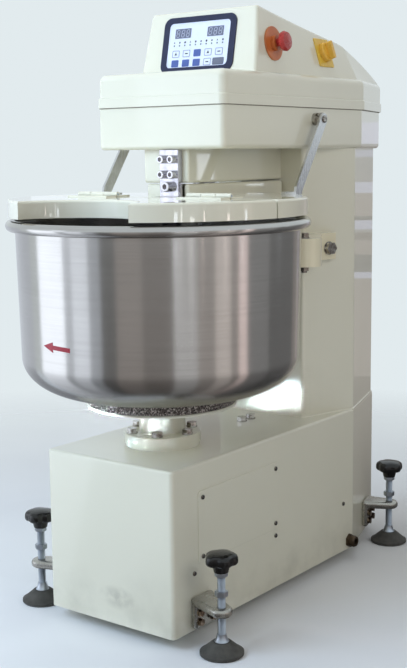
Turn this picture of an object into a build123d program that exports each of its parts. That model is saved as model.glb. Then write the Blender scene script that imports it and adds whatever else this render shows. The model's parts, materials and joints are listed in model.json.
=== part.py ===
from build123d import *
import math
import os

# Spiral dough mixer in millimetres: +Z up, front towards -Y, right side +X.
# Every piece is drawn about the bowl axis. AXIS_Y then moves the whole machine so that
# its origin lies on the floor, under the middle of its length.
AXIS_Y = -212.0

# Heights above the floor
BASE_BOTTOM = 24.0
BASE_TOP = 350.0
BOWL_BOTTOM = 460.5
BEAD_Z = 795.5
LID_BOTTOM = 812.0
LID_TOP = 846.0
TUNNEL_TOP = 871.0
ARM_BOTTOM = 873.0
HEAD_BOTTOM = 938.0
LIP_BOTTOM = 1022.0
LIP_TOP = 1042.0
SHOULDER_TOP = 1088.0
COVER_TOP = 1218.0

# Plan of the base, column and head: half widths and distances from the bowl axis
BASE_HALF, BASE_FRONT, BASE_CREASE = 158.5, -170.0, 497.0
BASE_REAR_HALF, BASE_REAR = 92.0, 706.0
COLUMN_FRONT_HALF, COLUMN_FRONT = 113.0, 352.0
COLUMN_HALF, COLUMN_CREASE = 156.0, 499.0
COLUMN_REAR_HALF, COLUMN_REAR = 90.0, 702.0
HEAD_HALF, HEAD_FRONT, HEAD_CREASE = 157.5, 3.5, 524.0
HEAD_REAR_HALF, HEAD_REAR = 98.0, 714.0
LIP_HALF, LIP_FRONT, LIP_CREASE = 161.0, 1.0, 530.0
LIP_REAR_HALF, LIP_REAR = 99.0, 724.0
SHEET = 4.0
PLATE = 6.0

# Bowl and its drive
WALL_RADIUS, WALL_RADIUS_Z = 280.0, 720.0
WALL_TAPER = math.atan(0.022)
BOWL_CORNER, BOWL_CORNER_HIGH = 114.0, 77.0
BOWL_SHEET = 2.5
RIM_RADIUS = 300.0
BEAD = 10.5
TURNTABLE_RADIUS, TURNTABLE_BOTTOM, TURNTABLE_TOP = 151.0, 432.5, 438.5
FOOT_RING_OUTER, FOOT_RING_INNER = 149.5, 118.0
HUB_RADIUS, HUB_TOP, HUB_SPIGOT, HUB_BOTTOM = 47.0, 429.0, 48.0, 330.0
FLANGE_RADIUS, FLANGE_BOTTOM, FLANGE_TOP, FLANGE_BOLT_CIRCLE = 78.0, 356.5, 377.0, 64.5
BOWL_SHAFT_RADIUS, BOWL_BEARING_RADIUS, BOWL_BEARING_WIDTH = 17.5, 36.0, 17.0
BOWL_DRIVE_Z, BOWL_PITCH_RADIUS, BOWL_MOTOR_PITCH_RADIUS = 288.0, 100.0, 36.0
BOWL_MOTOR_Y, BOWL_MOTOR_RADIUS = 268.0, 62.0

# Spiral and its drive
SPIRAL_Y = 150.0
SPIRAL_RADIUS, SPIRAL_WIRE = 86.0, 14.0
SPIRAL_TOP, SPIRAL_BOTTOM = 792.0, 500.0
SPIRAL_SHAFT_RADIUS, SPIRAL_BEARING_RADIUS, SPIRAL_BEARING_WIDTH = 22.5, 42.5, 19.0
MAIN_DRIVE_Z, SPIRAL_PITCH_RADIUS, MAIN_MOTOR_PITCH_RADIUS = 958.0, 120.0, 40.0
MAIN_MOTOR_Y, MAIN_MOTOR_RADIUS = 552.0, 84.0
SHELF_TOP, SHELF = 913.0, 8.0
ARM_HALF, ARM_FRONT, ARM_WALL = 56.5, 25.0, 8.0

# V-belt section: half widths and depths either side of the pitch line, and the pitch of the grooves
BELT_OUT, BELT_IN, BELT_HALF_OUT, BELT_HALF_IN = 3.0, 5.0, 6.5, 3.9
GROOVE_PITCH, GROOVE_MARGIN, GROOVE_GAP = 17.0, 3.0, 0.4

# Running gap of a shaft or pin in its bore
RUNNING = 0.04

# Bowl lid
LID_RADIUS, LID_WALL = 294.0, 4.0
LID_SPLIT, LID_SPLIT_GAP = -20.0, 4.0
BITE_RADIUS, BITE_X, BITE_Y = 130.0, 14.0, -280.0
TUNNEL_HALF, TUNNEL_REAR_HALF, TUNNEL_REAR = 53.0, 66.0, 346.0
HINGE_Z, HINGE_RADIUS, HINGE_PIN, HINGE_LEAF = 851.0, 5.0, 2.5, 3.0
HINGE_NEAR, HINGE_FAR, HINGE_LEAF_DEPTH = 88.0, 192.0, 30.0

# Breaker bar
BREAKER_X, BREAKER_WIDTH, BREAKER_THICK = 18.0, 47.0, 14.0
BREAKER_BAR_RADIUS, BREAKER_BAR_BOTTOM = 19.0, 490.0
BREAKER_SCREW_ROWS, BREAKER_SCREW_HALF_PITCH = (889.5, 919.0), 12.5
BREAKER_LOW_SCREW_Z = 866.0

# Stays of the lid: side distance, top and foot
STAY_X, STAY_WIDTH, STAY_THICK, STAY_TOP_Z = 176.0, 24.0, 5.0, 998.0
STAY_RIGHT_TOP_Y, STAY_RIGHT_FOOT_Y = 327.0, 223.0
STAY_LEFT_TOP_Y, STAY_LEFT_FOOT_Y = 149.0, 41.0
STAY_TAB, STAY_BOSS = 30.0, 13.0

# Guide rollers on the column
ROLLER_X, ROLLER_Y, ROLLER_RADIUS, ROLLER_HALF = 178.0, 254.0, 29.4, 16.0
ROLLER_ARM_BOTTOM, ROLLER_ARM_TOP, ROLLER_Z = 698.0, 756.0, 723.0
ROLLER_FLANGE, ROLLER_FLANGE_NEAR, ROLLER_FLANGE_BOLT, ROLLER_FLANGE_FAR = 16.0, 40.0, 61.0, 82.0
ROLLER_AXLE = 6.0

# Control cover: the front face leans back, the top falls to the rear in two slopes
BOX_FRONT_LOW, BOX_FRONT_HIGH = 127.0, 153.0
BOX_HALF_LOW, BOX_HALF_HIGH = 146.0, 139.0
BOX_KNEE_Y, BOX_KNEE_Z, BOX_KNEE_HALF = 500.0, 1166.0, 86.0
BOX_REAR_Y, BOX_REAR_Z, BOX_REAR_HALF = 717.0, 1090.0, 93.0
BOX_SIDE_LOW, BOX_SIDE_HIGH = 1080.0, 1230.0
BOX_EDGE = 7.0
PANEL_WIDTH, PANEL_HEIGHT, PANEL_SIDE, PANEL_RAIL, PANEL_THICK = 183.0, 116.0, 14.5, 12.0, 2.5
PANEL_X, PANEL_CENTRE_Z = -2.5, 1148.5
MEMBRANE_THICK, MEMBRANE_RISE = 1.2, 0.3
WINDOW_WIDTH, WINDOW_HEIGHT, WINDOW_HALF_PITCH, WINDOW_DROP = 40.5, 19.8, 40.9, 21.8
KEY_WIDTH, KEY_HEIGHT, KEY_WIDE, KEY_PITCH, KEY_DROPS = 18.2, 14.6, 28.0, 27.35, (63.7, 83.3)
ESTOP_Y, ESTOP_Z, ESTOP_PLATE_RADIUS = 199.0, 1145.0, 34.0
ISOLATOR_Y, ISOLATOR_Z, ISOLATOR_SIZE = 408.0, 1139.0, 62.0

# Access cover and screws on the base, and the rear cover of the column
ACCESS_FRONT, ACCESS_REAR, ACCESS_LOW, ACCESS_HIGH = -92.0, 185.0, 152.0, 295.0
ACCESS_MARGIN, COVER_THICK = 13.0, 2.0
SIDE_SCREW_Z, SIDE_SCREW_YS = 137.0, (-105.0, 175.0, 453.0)
REAR_COVER_HALF, REAR_COVER_LOW, REAR_COVER_HIGH = 74.0, 410.0, 890.0
PAN_HEAD, PAN_HEAD_HIGH, PAN_SHANK = 4.8, 3.0, 2.5

# Screw feet: places of the rods, and heights on a rod
FOOT_FRONT_Y, FOOT_FRONT_OUT, FOOT_FRONT_SKEW, FOOT_FRONT_LUG = -88.0, 75.5, -33.0, 93.0
FOOT_REAR_ALONG, FOOT_REAR_OUT, FOOT_REAR_SKEW, FOOT_REAR_LUG = 132.0, 60.0, 0.0, 102.0
LUG_THICK, LUG_WIDTH, LUG_END, LEG_THICK, LEG_HIGH, LEG_BEND = 18.0, 60.0, 21.0, 14.0, 62.0, 22.0
FOOT_BOLT_HALF_PITCH, FOOT_BOLT_DROPS, FOOT_BOLT = 20.0, (29.0, 48.0), 4.0
ROD_RADIUS, ROD_BOTTOM, NUT_FLATS, LOCK_NUT_HIGH, KNOB_NUT_HIGH = 8.0, 14.0, 22.0, 11.0, 8.0
LOCK_NUT_Z, KNOB_BOTTOM, KNOB_NECK, KNOB_TOP, KNOB_RADIUS, KNOB_LOBES = 114.0, 161.0, 178.0, 200.0, 32.0, 5
PAD_RADIUS, PAD_THICK, PAD_TOP, BELL_TOP = 42.0, 7.0, 26.0, 41.0


def column(radius, low, high, x=0.0, y=0.0):
    """Upright cylinder between two heights."""
    return Pos(x, y, (low + high) / 2) * Cylinder(radius, high - low)


def block(x_range, y_range, z_range):
    """Box between two limits on each axis."""
    sizes = [b - a for a, b in (x_range, y_range, z_range)]
    middle = [(a + b) / 2 for a, b in (x_range, y_range, z_range)]
    return Pos(*middle) * Box(*sizes)


def plan(points):
    """Flat face bounded by the points."""
    return make_face(Polyline(*points, close=True))


def prism(face, low, high):
    """Face of the XY plane carried from one height to another."""
    return Pos(0, 0, low) * extrude(face, amount=high - low)


def turned(points, x=0.0, y=0.0):
    """Solid of revolution about an upright axis, from (radius, height) points."""
    return Pos(x, y, 0) * revolve(Plane.XZ * plan(points), axis=Axis.Z)


def mirrored(shape):
    """The same shape on the other side of the machine."""
    return mirror(shape, about=Plane.YZ)


def outline(half, front, crease_half, crease, rear_half, rear):
    """Six-sided plan: straight front, sides, and a rear that narrows after the crease."""
    right = [(half, front), (crease_half, crease), (rear_half, rear)]
    return plan(right + [(-x, y) for x, y in reversed(right)])


def shrink(face, amount):
    """Face drawn in by a wall thickness, with sharp corners."""
    return offset(face, amount=-amount, kind=Kind.INTERSECTION)


def softened(solid, upright, top, low=0.0):
    """Rounds the upright edges, the edges of the top face and those of the bottom face."""
    solid = fillet(solid.edges().filter_by(Axis.Z), upright)
    if top:
        solid = fillet(solid.faces().sort_by(Axis.Z)[-1].edges(), top)
    if low:
        solid = fillet(solid.faces().sort_by(Axis.Z)[0].edges(), low)
    return solid


def hex_bolt(radius, flats, head, length):
    """Bolt with a washer: the head stands above z = 0 and the shank hangs below."""
    washer = 2.0
    top = Pos(0, 0, washer) * extrude(RegularPolygon(flats / math.sqrt(3), 6), amount=head)
    return top + column(flats * 0.6, 0, washer) + column(radius, -length, 0)


def pan_screw(length):
    """Small domed screw, head above z = 0."""
    head = fillet(column(PAN_HEAD, 0, PAN_HEAD_HIGH).edges().sort_by(Axis.Z)[-1], 1.8)
    return head + column(PAN_SHANK, -length, 0)


def socket_screw(radius, head_radius, head, length):
    """Cap screw with a six-sided socket, head above z = 0."""
    top = chamfer(column(head_radius, 0, head).edges().sort_by(Axis.Z)[-1], 1.0)
    socket = Pos(0, 0, head - radius) * extrude(RegularPolygon(radius, 6), amount=radius)
    return top - socket + column(radius, -length, 0)


def facing(origin, direction):
    """Location whose local Z points along a direction."""
    return Plane(origin=origin, z_dir=direction).location


# Places shared by several pieces
BASE_PLAN = outline(BASE_HALF, BASE_FRONT, BASE_HALF, BASE_CREASE, BASE_REAR_HALF, BASE_REAR)
COLUMN_PLAN = outline(
    COLUMN_FRONT_HALF, COLUMN_FRONT, COLUMN_HALF, COLUMN_CREASE, COLUMN_REAR_HALF, COLUMN_REAR
)
HEAD_PLAN = outline(HEAD_HALF, HEAD_FRONT, HEAD_HALF, HEAD_CREASE, HEAD_REAR_HALF, HEAD_REAR)
LIP_PLAN = outline(LIP_HALF, LIP_FRONT, LIP_HALF, LIP_CREASE, LIP_REAR_HALF, LIP_REAR)

TAPER_RUN = math.hypot(BASE_HALF - BASE_REAR_HALF, BASE_REAR - BASE_CREASE)
TAPER_ALONG = Vector((BASE_REAR_HALF - BASE_HALF) / TAPER_RUN, (BASE_REAR - BASE_CREASE) / TAPER_RUN, 0)
TAPER_OUT = Vector(TAPER_ALONG.Y, -TAPER_ALONG.X, 0)
TAPER_START = Vector(BASE_HALF, BASE_CREASE, 0)
GLAND_PLACE, GLAND_OUT = Vector(BASE_HALF, BASE_CREASE - 16, 43), Vector(1, 0, 0)

COLUMN_SIDE = Vector(COLUMN_HALF - COLUMN_FRONT_HALF, COLUMN_CREASE - COLUMN_FRONT, 0).normalized()
COLUMN_OUT = Vector(COLUMN_SIDE.Y, -COLUMN_SIDE.X, 0)
COLUMN_CORNER = Vector(COLUMN_FRONT_HALF, COLUMN_FRONT, ROLLER_Z)
ARM_BOLT_PLACE = COLUMN_CORNER + COLUMN_SIDE * ROLLER_FLANGE_BOLT

ACCESS_SCREWS = [
    (y, z)
    for y in (ACCESS_FRONT + ACCESS_MARGIN, ACCESS_REAR - ACCESS_MARGIN)
    for z in (ACCESS_LOW + ACCESS_MARGIN, ACCESS_HIGH - ACCESS_MARGIN)
]
REAR_SCREWS = [
    (x, z)
    for x in (-REAR_COVER_HALF + 8, REAR_COVER_HALF - 8)
    for z in (REAR_COVER_LOW + 12, (REAR_COVER_LOW + REAR_COVER_HIGH) / 2, REAR_COVER_HIGH - 12)
]
HUB_BOLTS = [
    (FLANGE_BOLT_CIRCLE * math.cos(math.radians(a)), FLANGE_BOLT_CIRCLE * math.sin(math.radians(a)))
    for a in range(0, 360, 60)
]
HANGER_BOLTS = [(20.0, BOWL_MOTOR_Y - 16), (20.0, BOWL_MOTOR_Y + 16)]

FACE_LEAN = Vector(0, BOX_FRONT_HIGH - BOX_FRONT_LOW, COVER_TOP - SHOULDER_TOP).normalized()
PANEL_PLANE = Plane(
    origin=(
        PANEL_X,
        BOX_FRONT_LOW + FACE_LEAN.Y / FACE_LEAN.Z * (PANEL_CENTRE_Z - SHOULDER_TOP),
        PANEL_CENTRE_Z,
    ),
    x_dir=(1, 0, 0),
    z_dir=(0, -FACE_LEAN.Z, FACE_LEAN.Y),
)


def box_half(y, z):
    """Half width of the control box at a place on its leaning side."""
    along = (y - BOX_FRONT_LOW) / (BOX_KNEE_Y - BOX_FRONT_LOW)
    high = BOX_HALF_HIGH + (BOX_KNEE_HALF - BOX_HALF_HIGH) * along
    return BOX_HALF_LOW + (high - BOX_HALF_LOW) * (z - BOX_SIDE_LOW) / (BOX_SIDE_HIGH - BOX_SIDE_LOW)


def box_side(y, z):
    """Plane on the right side of the control box, its Z axis square to the surface."""
    back = box_half(y - 5, z) - box_half(y + 5, z)
    lean = box_half(y, z - 5) - box_half(y, z + 5)
    return Plane(origin=(box_half(y, z), y, z), x_dir=(-back / 10, 1, 0), z_dir=(1, back / 10, lean / 10))


ESTOP_PLANE = box_side(ESTOP_Y, ESTOP_Z)
ISOLATOR_PLANE = box_side(ISOLATOR_Y, ISOLATOR_Z)


def base_shell():
    """Welded base: open below, with holes for the hub, the column, the access door and the gland."""
    shell = softened(prism(BASE_PLAN, BASE_BOTTOM, BASE_TOP), 8, 5)
    shell -= prism(shrink(BASE_PLAN, SHEET), BASE_BOTTOM, BASE_TOP - PLATE)
    shell -= column(HUB_SPIGOT, HUB_BOTTOM, BASE_TOP)
    shell -= block((-60, 60), (500, 620), (BASE_TOP - PLATE, BASE_TOP))
    inset = 2 * ACCESS_MARGIN
    shell -= block(
        (BASE_HALF - SHEET, BASE_HALF),
        (ACCESS_FRONT + inset, ACCESS_REAR - inset),
        (ACCESS_LOW + inset, ACCESS_HIGH - inset),
    )
    shell -= facing(GLAND_PLACE, GLAND_OUT) * Cylinder(10, 20)
    for x, y in HANGER_BOLTS:
        shell -= column(5, BASE_TOP - PLATE, BASE_TOP, x, y)
    for x, y in HUB_BOLTS:
        shell -= column(5, BASE_TOP - PLATE, BASE_TOP, x, y)
    for y, z in ACCESS_SCREWS:
        shell -= facing((BASE_HALF, y, z), (1, 0, 0)) * Cylinder(PAN_SHANK, 20)
    for y in SIDE_SCREW_YS:
        for side in (-1, 1):
            shell -= facing((side * BASE_HALF, y, SIDE_SCREW_Z), (1, 0, 0)) * Cylinder(PAN_SHANK, 20)
    for name, place in foot_places().items():
        for bolt in foot_bolt_places(name):
            shell -= place * bolt * Cylinder(FOOT_BOLT, 20)
    return shell


def base_floor():
    """Heavy plate that closes the base."""
    return prism(shrink(BASE_PLAN, SHEET), BASE_BOTTOM + 2, BASE_BOTTOM + 8)


def access_cover():
    """Removable plate on the right side of the base."""
    cover = block(
        (BASE_HALF, BASE_HALF + COVER_THICK), (ACCESS_FRONT, ACCESS_REAR), (ACCESS_LOW, ACCESS_HIGH)
    )
    cover = fillet(cover.edges().filter_by(Axis.X), 8)
    cover = fillet(cover.faces().sort_by(Axis.X)[-1].edges(), 0.8)
    for y, z in ACCESS_SCREWS:
        cover -= facing((BASE_HALF, y, z), (1, 0, 0)) * Cylinder(PAN_SHANK, 20)
    return cover


def panel_screws():
    """Domed screws of the access cover, the base sides and the rear cover."""
    screws = [
        facing((BASE_HALF + COVER_THICK, y, z), (1, 0, 0)) * pan_screw(COVER_THICK + SHEET + 2)
        for y, z in ACCESS_SCREWS
    ]
    for y in SIDE_SCREW_YS:
        for side in (-1, 1):
            place = facing((side * BASE_HALF, y, SIDE_SCREW_Z), (side, 0, 0))
            screws.append(place * pan_screw(SHEET + 2))
    for x, z in REAR_SCREWS:
        place = facing((x, COLUMN_REAR + COVER_THICK, z), (0, 1, 0))
        screws.append(place * pan_screw(COVER_THICK + SHEET + 2))
    return screws


def column_shell():
    """Hollow column, open at the rear behind its cover."""
    shell = softened(prism(COLUMN_PLAN, BASE_TOP, HEAD_BOTTOM), 8, 0)
    shell -= prism(shrink(COLUMN_PLAN, SHEET), BASE_TOP, HEAD_BOTTOM)
    half = REAR_COVER_HALF - 16
    shell -= block(
        (-half, half), (COLUMN_REAR - SHEET, COLUMN_REAR), (REAR_COVER_LOW + 24, REAR_COVER_HIGH - 24)
    )
    for x, z in REAR_SCREWS:
        shell -= facing((x, COLUMN_REAR, z), (0, 1, 0)) * Cylinder(PAN_SHANK, 20)
    hole = facing(ARM_BOLT_PLACE, COLUMN_OUT) * Cylinder(8, 20)
    return shell - hole - mirrored(hole)


def rear_cover():
    """Vented plate over the back of the column."""
    cover = block(
        (-REAR_COVER_HALF, REAR_COVER_HALF),
        (COLUMN_REAR, COLUMN_REAR + COVER_THICK),
        (REAR_COVER_LOW, REAR_COVER_HIGH),
    )
    cover = fillet(cover.edges().filter_by(Axis.Y), 8)
    slot = Rot(90, 0, 0) * extrude(SlotOverall(84, 7), amount=10, both=True)
    for row in range(10):
        for low in (REAR_COVER_LOW + 50, REAR_COVER_HIGH - 176):
            cover -= Pos(0, COLUMN_REAR, low + 14 * row) * slot
    for x, z in REAR_SCREWS:
        cover -= facing((x, COLUMN_REAR, z), (0, 1, 0)) * Cylinder(PAN_SHANK, 20)
    return cover


def motor_shelf():
    """Shelf welded inside the column, from which the main motor hangs."""
    shelf = prism(shrink(COLUMN_PLAN, SHEET), SHELF_TOP - SHELF, SHELF_TOP)
    return shelf - column(50, SHELF_TOP - SHELF, SHELF_TOP, 0, MAIN_MOTOR_Y)


def arm_casting():
    """Box casting under the head, with the bearing boss of the spiral inside."""
    arm = block((-ARM_HALF, ARM_HALF), (ARM_FRONT, COLUMN_FRONT), (ARM_BOTTOM, HEAD_BOTTOM))
    arm = fillet(arm.edges().filter_by(Axis.Z).sort_by(Axis.Y)[:2], 5)
    arm = fillet(arm.faces().sort_by(Axis.Z)[0].edges().filter_by(Axis.Y), 5)
    hollow = block(
        (-ARM_HALF + ARM_WALL, ARM_HALF - ARM_WALL),
        (ARM_FRONT + 2 * ARM_WALL, COLUMN_FRONT - ARM_WALL),
        (ARM_BOTTOM + ARM_WALL, HEAD_BOTTOM),
    )
    arm -= hollow - column(52, ARM_BOTTOM, HEAD_BOTTOM, 0, SPIRAL_Y)
    arm -= column(SPIRAL_BEARING_RADIUS, ARM_BOTTOM + ARM_WALL, HEAD_BOTTOM, 0, SPIRAL_Y)
    arm -= column(SPIRAL_SHAFT_RADIUS + 2, ARM_BOTTOM, HEAD_BOTTOM, 0, SPIRAL_Y)
    for x, z in breaker_screw_places():
        arm -= facing((x, ARM_FRONT, z), (0, 1, 0)) * Cylinder(5, 24)
    return arm


def bearing(inner, outer, low, width, y):
    """Sealed bearing: outer and inner races with a shallow groove for the seal on each face."""
    inner = inner + RUNNING
    groove = 1.2
    a, b = inner + (outer - inner) * 0.3, inner + (outer - inner) * 0.72
    high = low + width
    profile = [
        (inner, low), (a, low), (a, low + groove), (b, low + groove), (b, low), (outer, low),
        (outer, high), (b, high), (b, high - groove), (a, high - groove), (a, high), (inner, high),
    ]
    return turned(profile, 0, y)


def head_housing():
    """Lower half of the head: a tub with openings for the spiral shaft and the motor pulley."""
    tub = softened(prism(HEAD_PLAN, HEAD_BOTTOM, LIP_BOTTOM), 10, 0, 8)
    tub -= prism(shrink(HEAD_PLAN, SHEET), HEAD_BOTTOM + PLATE, LIP_BOTTOM)
    tub -= column(40, HEAD_BOTTOM, HEAD_BOTTOM + PLATE, 0, SPIRAL_Y)
    tub -= column(70, HEAD_BOTTOM, HEAD_BOTTOM + PLATE, 0, MAIN_MOTOR_Y)
    for side, y in ((1, STAY_RIGHT_TOP_Y), (-1, STAY_LEFT_TOP_Y)):
        tub -= facing((side * HEAD_HALF, y, STAY_TOP_Z), (1, 0, 0)) * Cylinder(4, 20)
    return tub


def box_body(wall):
    """Control box of the cover: ruled sides that lean in, cut by the front and the falling top."""
    lean = FACE_LEAN.Y / FACE_LEAN.Z
    near = [(BOX_HALF_LOW, BOX_FRONT_LOW - 20), (BOX_HALF_LOW, LIP_CREASE), (BOX_REAR_HALF, BOX_REAR_Y)]
    far = [(BOX_HALF_HIGH, BOX_FRONT_LOW - 20), (BOX_KNEE_HALF, BOX_KNEE_Y)]
    far.append((BOX_REAR_HALF - 30, BOX_REAR_Y))
    bottom = plan([(x - wall, y) for x, y in near] + [(wall - x, y) for x, y in reversed(near)])
    top = plan([(x - wall, y) for x, y in far] + [(wall - x, y) for x, y in reversed(far)])
    sides = loft([Pos(0, 0, BOX_SIDE_LOW) * bottom, Pos(0, 0, BOX_SIDE_HIGH) * top], ruled=True)
    profile = plan([
        (BOX_FRONT_LOW + lean * (BOX_SIDE_LOW - SHOULDER_TOP) + wall, BOX_SIDE_LOW),
        (BOX_FRONT_HIGH + wall, COVER_TOP - wall),
        (BOX_KNEE_Y, BOX_KNEE_Z - wall),
        (BOX_REAR_Y - wall, BOX_REAR_Z - wall),
        (BOX_REAR_Y - wall, BOX_SIDE_LOW),
    ])
    knee = profile.vertices().sort_by_distance((BOX_KNEE_Y, BOX_KNEE_Z - wall, 0))[0]
    profile = fillet(knee, 160)
    return sides & extrude(Plane.YZ * profile, amount=2 * LIP_HALF, both=True)


def head_cover():
    """Upper moulding: lip, rounded shoulder and the control box, hollow below."""
    skirt_plan = shrink(LIP_PLAN, 2.5)
    cover = softened(prism(skirt_plan, LIP_BOTTOM, SHOULDER_TOP), 14, 14)
    cover += softened(prism(LIP_PLAN, LIP_BOTTOM, LIP_TOP), 14, 2)
    box = box_body(0)
    upper = [edge for edge in box.edges() if edge.center().Z > BOX_SIDE_LOW + 1]
    cover += fillet(upper, BOX_EDGE)
    cover += ISOLATOR_PLANE.location * rounded_slab(ISOLATOR_SIZE, ISOLATOR_SIZE, 4, -8, 0)
    cover += ESTOP_PLANE.location * column(ESTOP_PLATE_RADIUS, -8, 0)
    cover -= softened(prism(shrink(skirt_plan, SHEET), LIP_BOTTOM, SHOULDER_TOP - SHEET), 10, 10)
    cover -= box_body(SHEET)
    cover -= ESTOP_PLANE.location * column(ESTOP_PLATE_RADIUS, 0, 40)
    cover -= ESTOP_PLANE.location * Cylinder(11.4, 60)
    cover -= ISOLATOR_PLANE.location * rounded_slab(ISOLATOR_SIZE, ISOLATOR_SIZE, 4, 0, 40)
    return cover - ISOLATOR_PLANE.location * Cylinder(8.4, 60)


def rounded_slab(width, height, corner, low, high):
    """Flat piece with rounded corners in the local XY plane."""
    return Pos(0, 0, low) * extrude(RectangleRounded(width, height, corner), amount=high - low)


def control_panel():
    """Raised frame of the control panel."""
    frame = rounded_slab(PANEL_WIDTH, PANEL_HEIGHT, 18, 0, PANEL_THICK)
    frame = fillet(frame.faces().sort_by(Axis.Z)[-1].edges(), 0.8)
    return PANEL_PLANE.location * (frame - membrane_sheet(PANEL_THICK))


def membrane_sheet(thick):
    """Sheet that fills the inside of the panel frame."""
    return rounded_slab(PANEL_WIDTH - 2 * PANEL_SIDE, PANEL_HEIGHT - 2 * PANEL_RAIL, 9, 0, thick)


def keypad():
    """Membrane sheet inside the frame, with raised number windows and key pads."""
    sheet = membrane_sheet(MEMBRANE_THICK)
    upper = PANEL_HEIGHT / 2 - PANEL_RAIL
    high = MEMBRANE_THICK + MEMBRANE_RISE
    window = rounded_slab(WINDOW_WIDTH, WINDOW_HEIGHT, 1.2, 0, high)
    for x in (-WINDOW_HALF_PITCH, WINDOW_HALF_PITCH):
        sheet += Pos(x, upper - WINDOW_DROP, 0) * window
    for row, drop in enumerate(KEY_DROPS):
        for i in range(5):
            width = KEY_WIDE if (row, i) == (1, 4) else KEY_WIDTH
            sheet += Pos((i - 2) * KEY_PITCH, upper - drop, 0) * rounded_slab(width, KEY_HEIGHT, 2, 0, high)
    return PANEL_PLANE.location * sheet


def estop_plate():
    """Round plate of the stop button, with the collar that guides the stem and its nut inside."""
    plate = rounded_disc(ESTOP_PLATE_RADIUS, 0, 3, 1) + column(15, 3, 12)
    plate += column(11.4, -16, 0) + column(16, -16, -8)
    return ESTOP_PLANE.location * (plate - Cylinder(8.2, 60))


def rounded_disc(radius, low, high, edge):
    """Disc on the local Z axis with its upper edge rounded."""
    return fillet(column(radius, low, high).edges().sort_by(Axis.Z)[-1], edge)


def estop_button():
    """Red mushroom on its stem."""
    profile = [(0, -18), (8, -18), (8, 17.5), (13, 19), (19, 24), (20, 29), (17, 34), (0, 36.5)]
    return ESTOP_PLANE.location * turned(profile)


def isolator_plate():
    """Square plate of the mains isolator, with the switch body inside the cover."""
    plate = rounded_slab(ISOLATOR_SIZE, ISOLATOR_SIZE, 4, 0, 3)
    plate = fillet(plate.faces().sort_by(Axis.Z)[-1].edges(), 1)
    plate += column(8.4, -30, 0) + column(20, -30, -12)
    return ISOLATOR_PLANE.location * (plate - Cylinder(4.1, 80))


def isolator_knob():
    """Rotary knob: a dished disc with a raised grip."""
    disc = rounded_disc(21, 3.5, 13, 2.5)
    grip = Pos(0, 0, 18) * Box(10, 38, 16)
    grip = fillet(grip.edges().filter_by(Axis.Z), 4)
    return ISOLATOR_PLANE.location * (disc + grip + column(4, -26, 4))


def cable_gland():
    """Mains inlet gland at the rear corner of the base."""
    nut = extrude(RegularPolygon(16, 6), amount=6)
    dome = turned([(7, 6), (13, 6), (13, 15), (11, 19), (7, 19)])
    body = nut + dome + column(10, -SHEET - 6, 0) - Cylinder(7, 80)
    return facing(GLAND_PLACE, GLAND_OUT) * body


def hub_housing():
    """Bearing housing of the bowl shaft, bolted to the base by its flange on a round seat."""
    hub = column(FLANGE_RADIUS, FLANGE_BOTTOM, FLANGE_TOP)
    hub = fillet(hub.edges().sort_by(Axis.Z)[-1], 1.5)
    hub += column(FLANGE_RADIUS - 2, BASE_TOP, FLANGE_BOTTOM)
    hub += column(HUB_SPIGOT, HUB_BOTTOM, BASE_TOP)
    hub += column(HUB_RADIUS, FLANGE_TOP, HUB_TOP)
    hub -= column(BOWL_SHAFT_RADIUS + 4, HUB_BOTTOM, HUB_TOP)
    for low in hub_bearing_lows():
        hub -= column(BOWL_BEARING_RADIUS, low, low + BOWL_BEARING_WIDTH)
    hub -= column(BOWL_BEARING_RADIUS, HUB_BOTTOM, HUB_BOTTOM + 2)
    hub -= column(BOWL_BEARING_RADIUS, HUB_TOP - 2, HUB_TOP)
    for x, y in HUB_BOLTS:
        hub -= column(5, BASE_TOP, FLANGE_TOP, x, y)
    return hub


def hub_bearing_lows():
    """Lower faces of the two hub bearings."""
    return (HUB_BOTTOM + 2, HUB_TOP - 2 - BOWL_BEARING_WIDTH)


def ball_bearings():
    """Bearings of the bowl shaft in the hub and of the spiral shaft in the arm."""
    rings = [
        bearing(BOWL_SHAFT_RADIUS, BOWL_BEARING_RADIUS, low, BOWL_BEARING_WIDTH, 0)
        for low in hub_bearing_lows()
    ]
    for low in (ARM_BOTTOM + ARM_WALL, HEAD_BOTTOM - SPIRAL_BEARING_WIDTH):
        rings.append(
            bearing(SPIRAL_SHAFT_RADIUS, SPIRAL_BEARING_RADIUS, low, SPIRAL_BEARING_WIDTH, SPIRAL_Y)
        )
    return rings


def bowl_shaft():
    """Shaft from the bowl pulley to the turntable."""
    return column(BOWL_SHAFT_RADIUS, BOWL_DRIVE_Z - 8, TURNTABLE_TOP)


def turntable():
    """Disc that carries the bowl, with a boss over the hub."""
    disc = column(TURNTABLE_RADIUS, TURNTABLE_BOTTOM, TURNTABLE_TOP)
    disc = fillet(disc.edges(), 2)
    disc += column(32, HUB_TOP + 1, TURNTABLE_BOTTOM)
    return disc - column(BOWL_SHAFT_RADIUS, HUB_TOP, TURNTABLE_TOP)


def bowl_foot_ring():
    """Rough steel ring welded under the bowl."""
    ring = column(FOOT_RING_OUTER, TURNTABLE_TOP, BOWL_BOTTOM)
    return ring - column(FOOT_RING_INNER, TURNTABLE_TOP, BOWL_BOTTOM)


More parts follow.
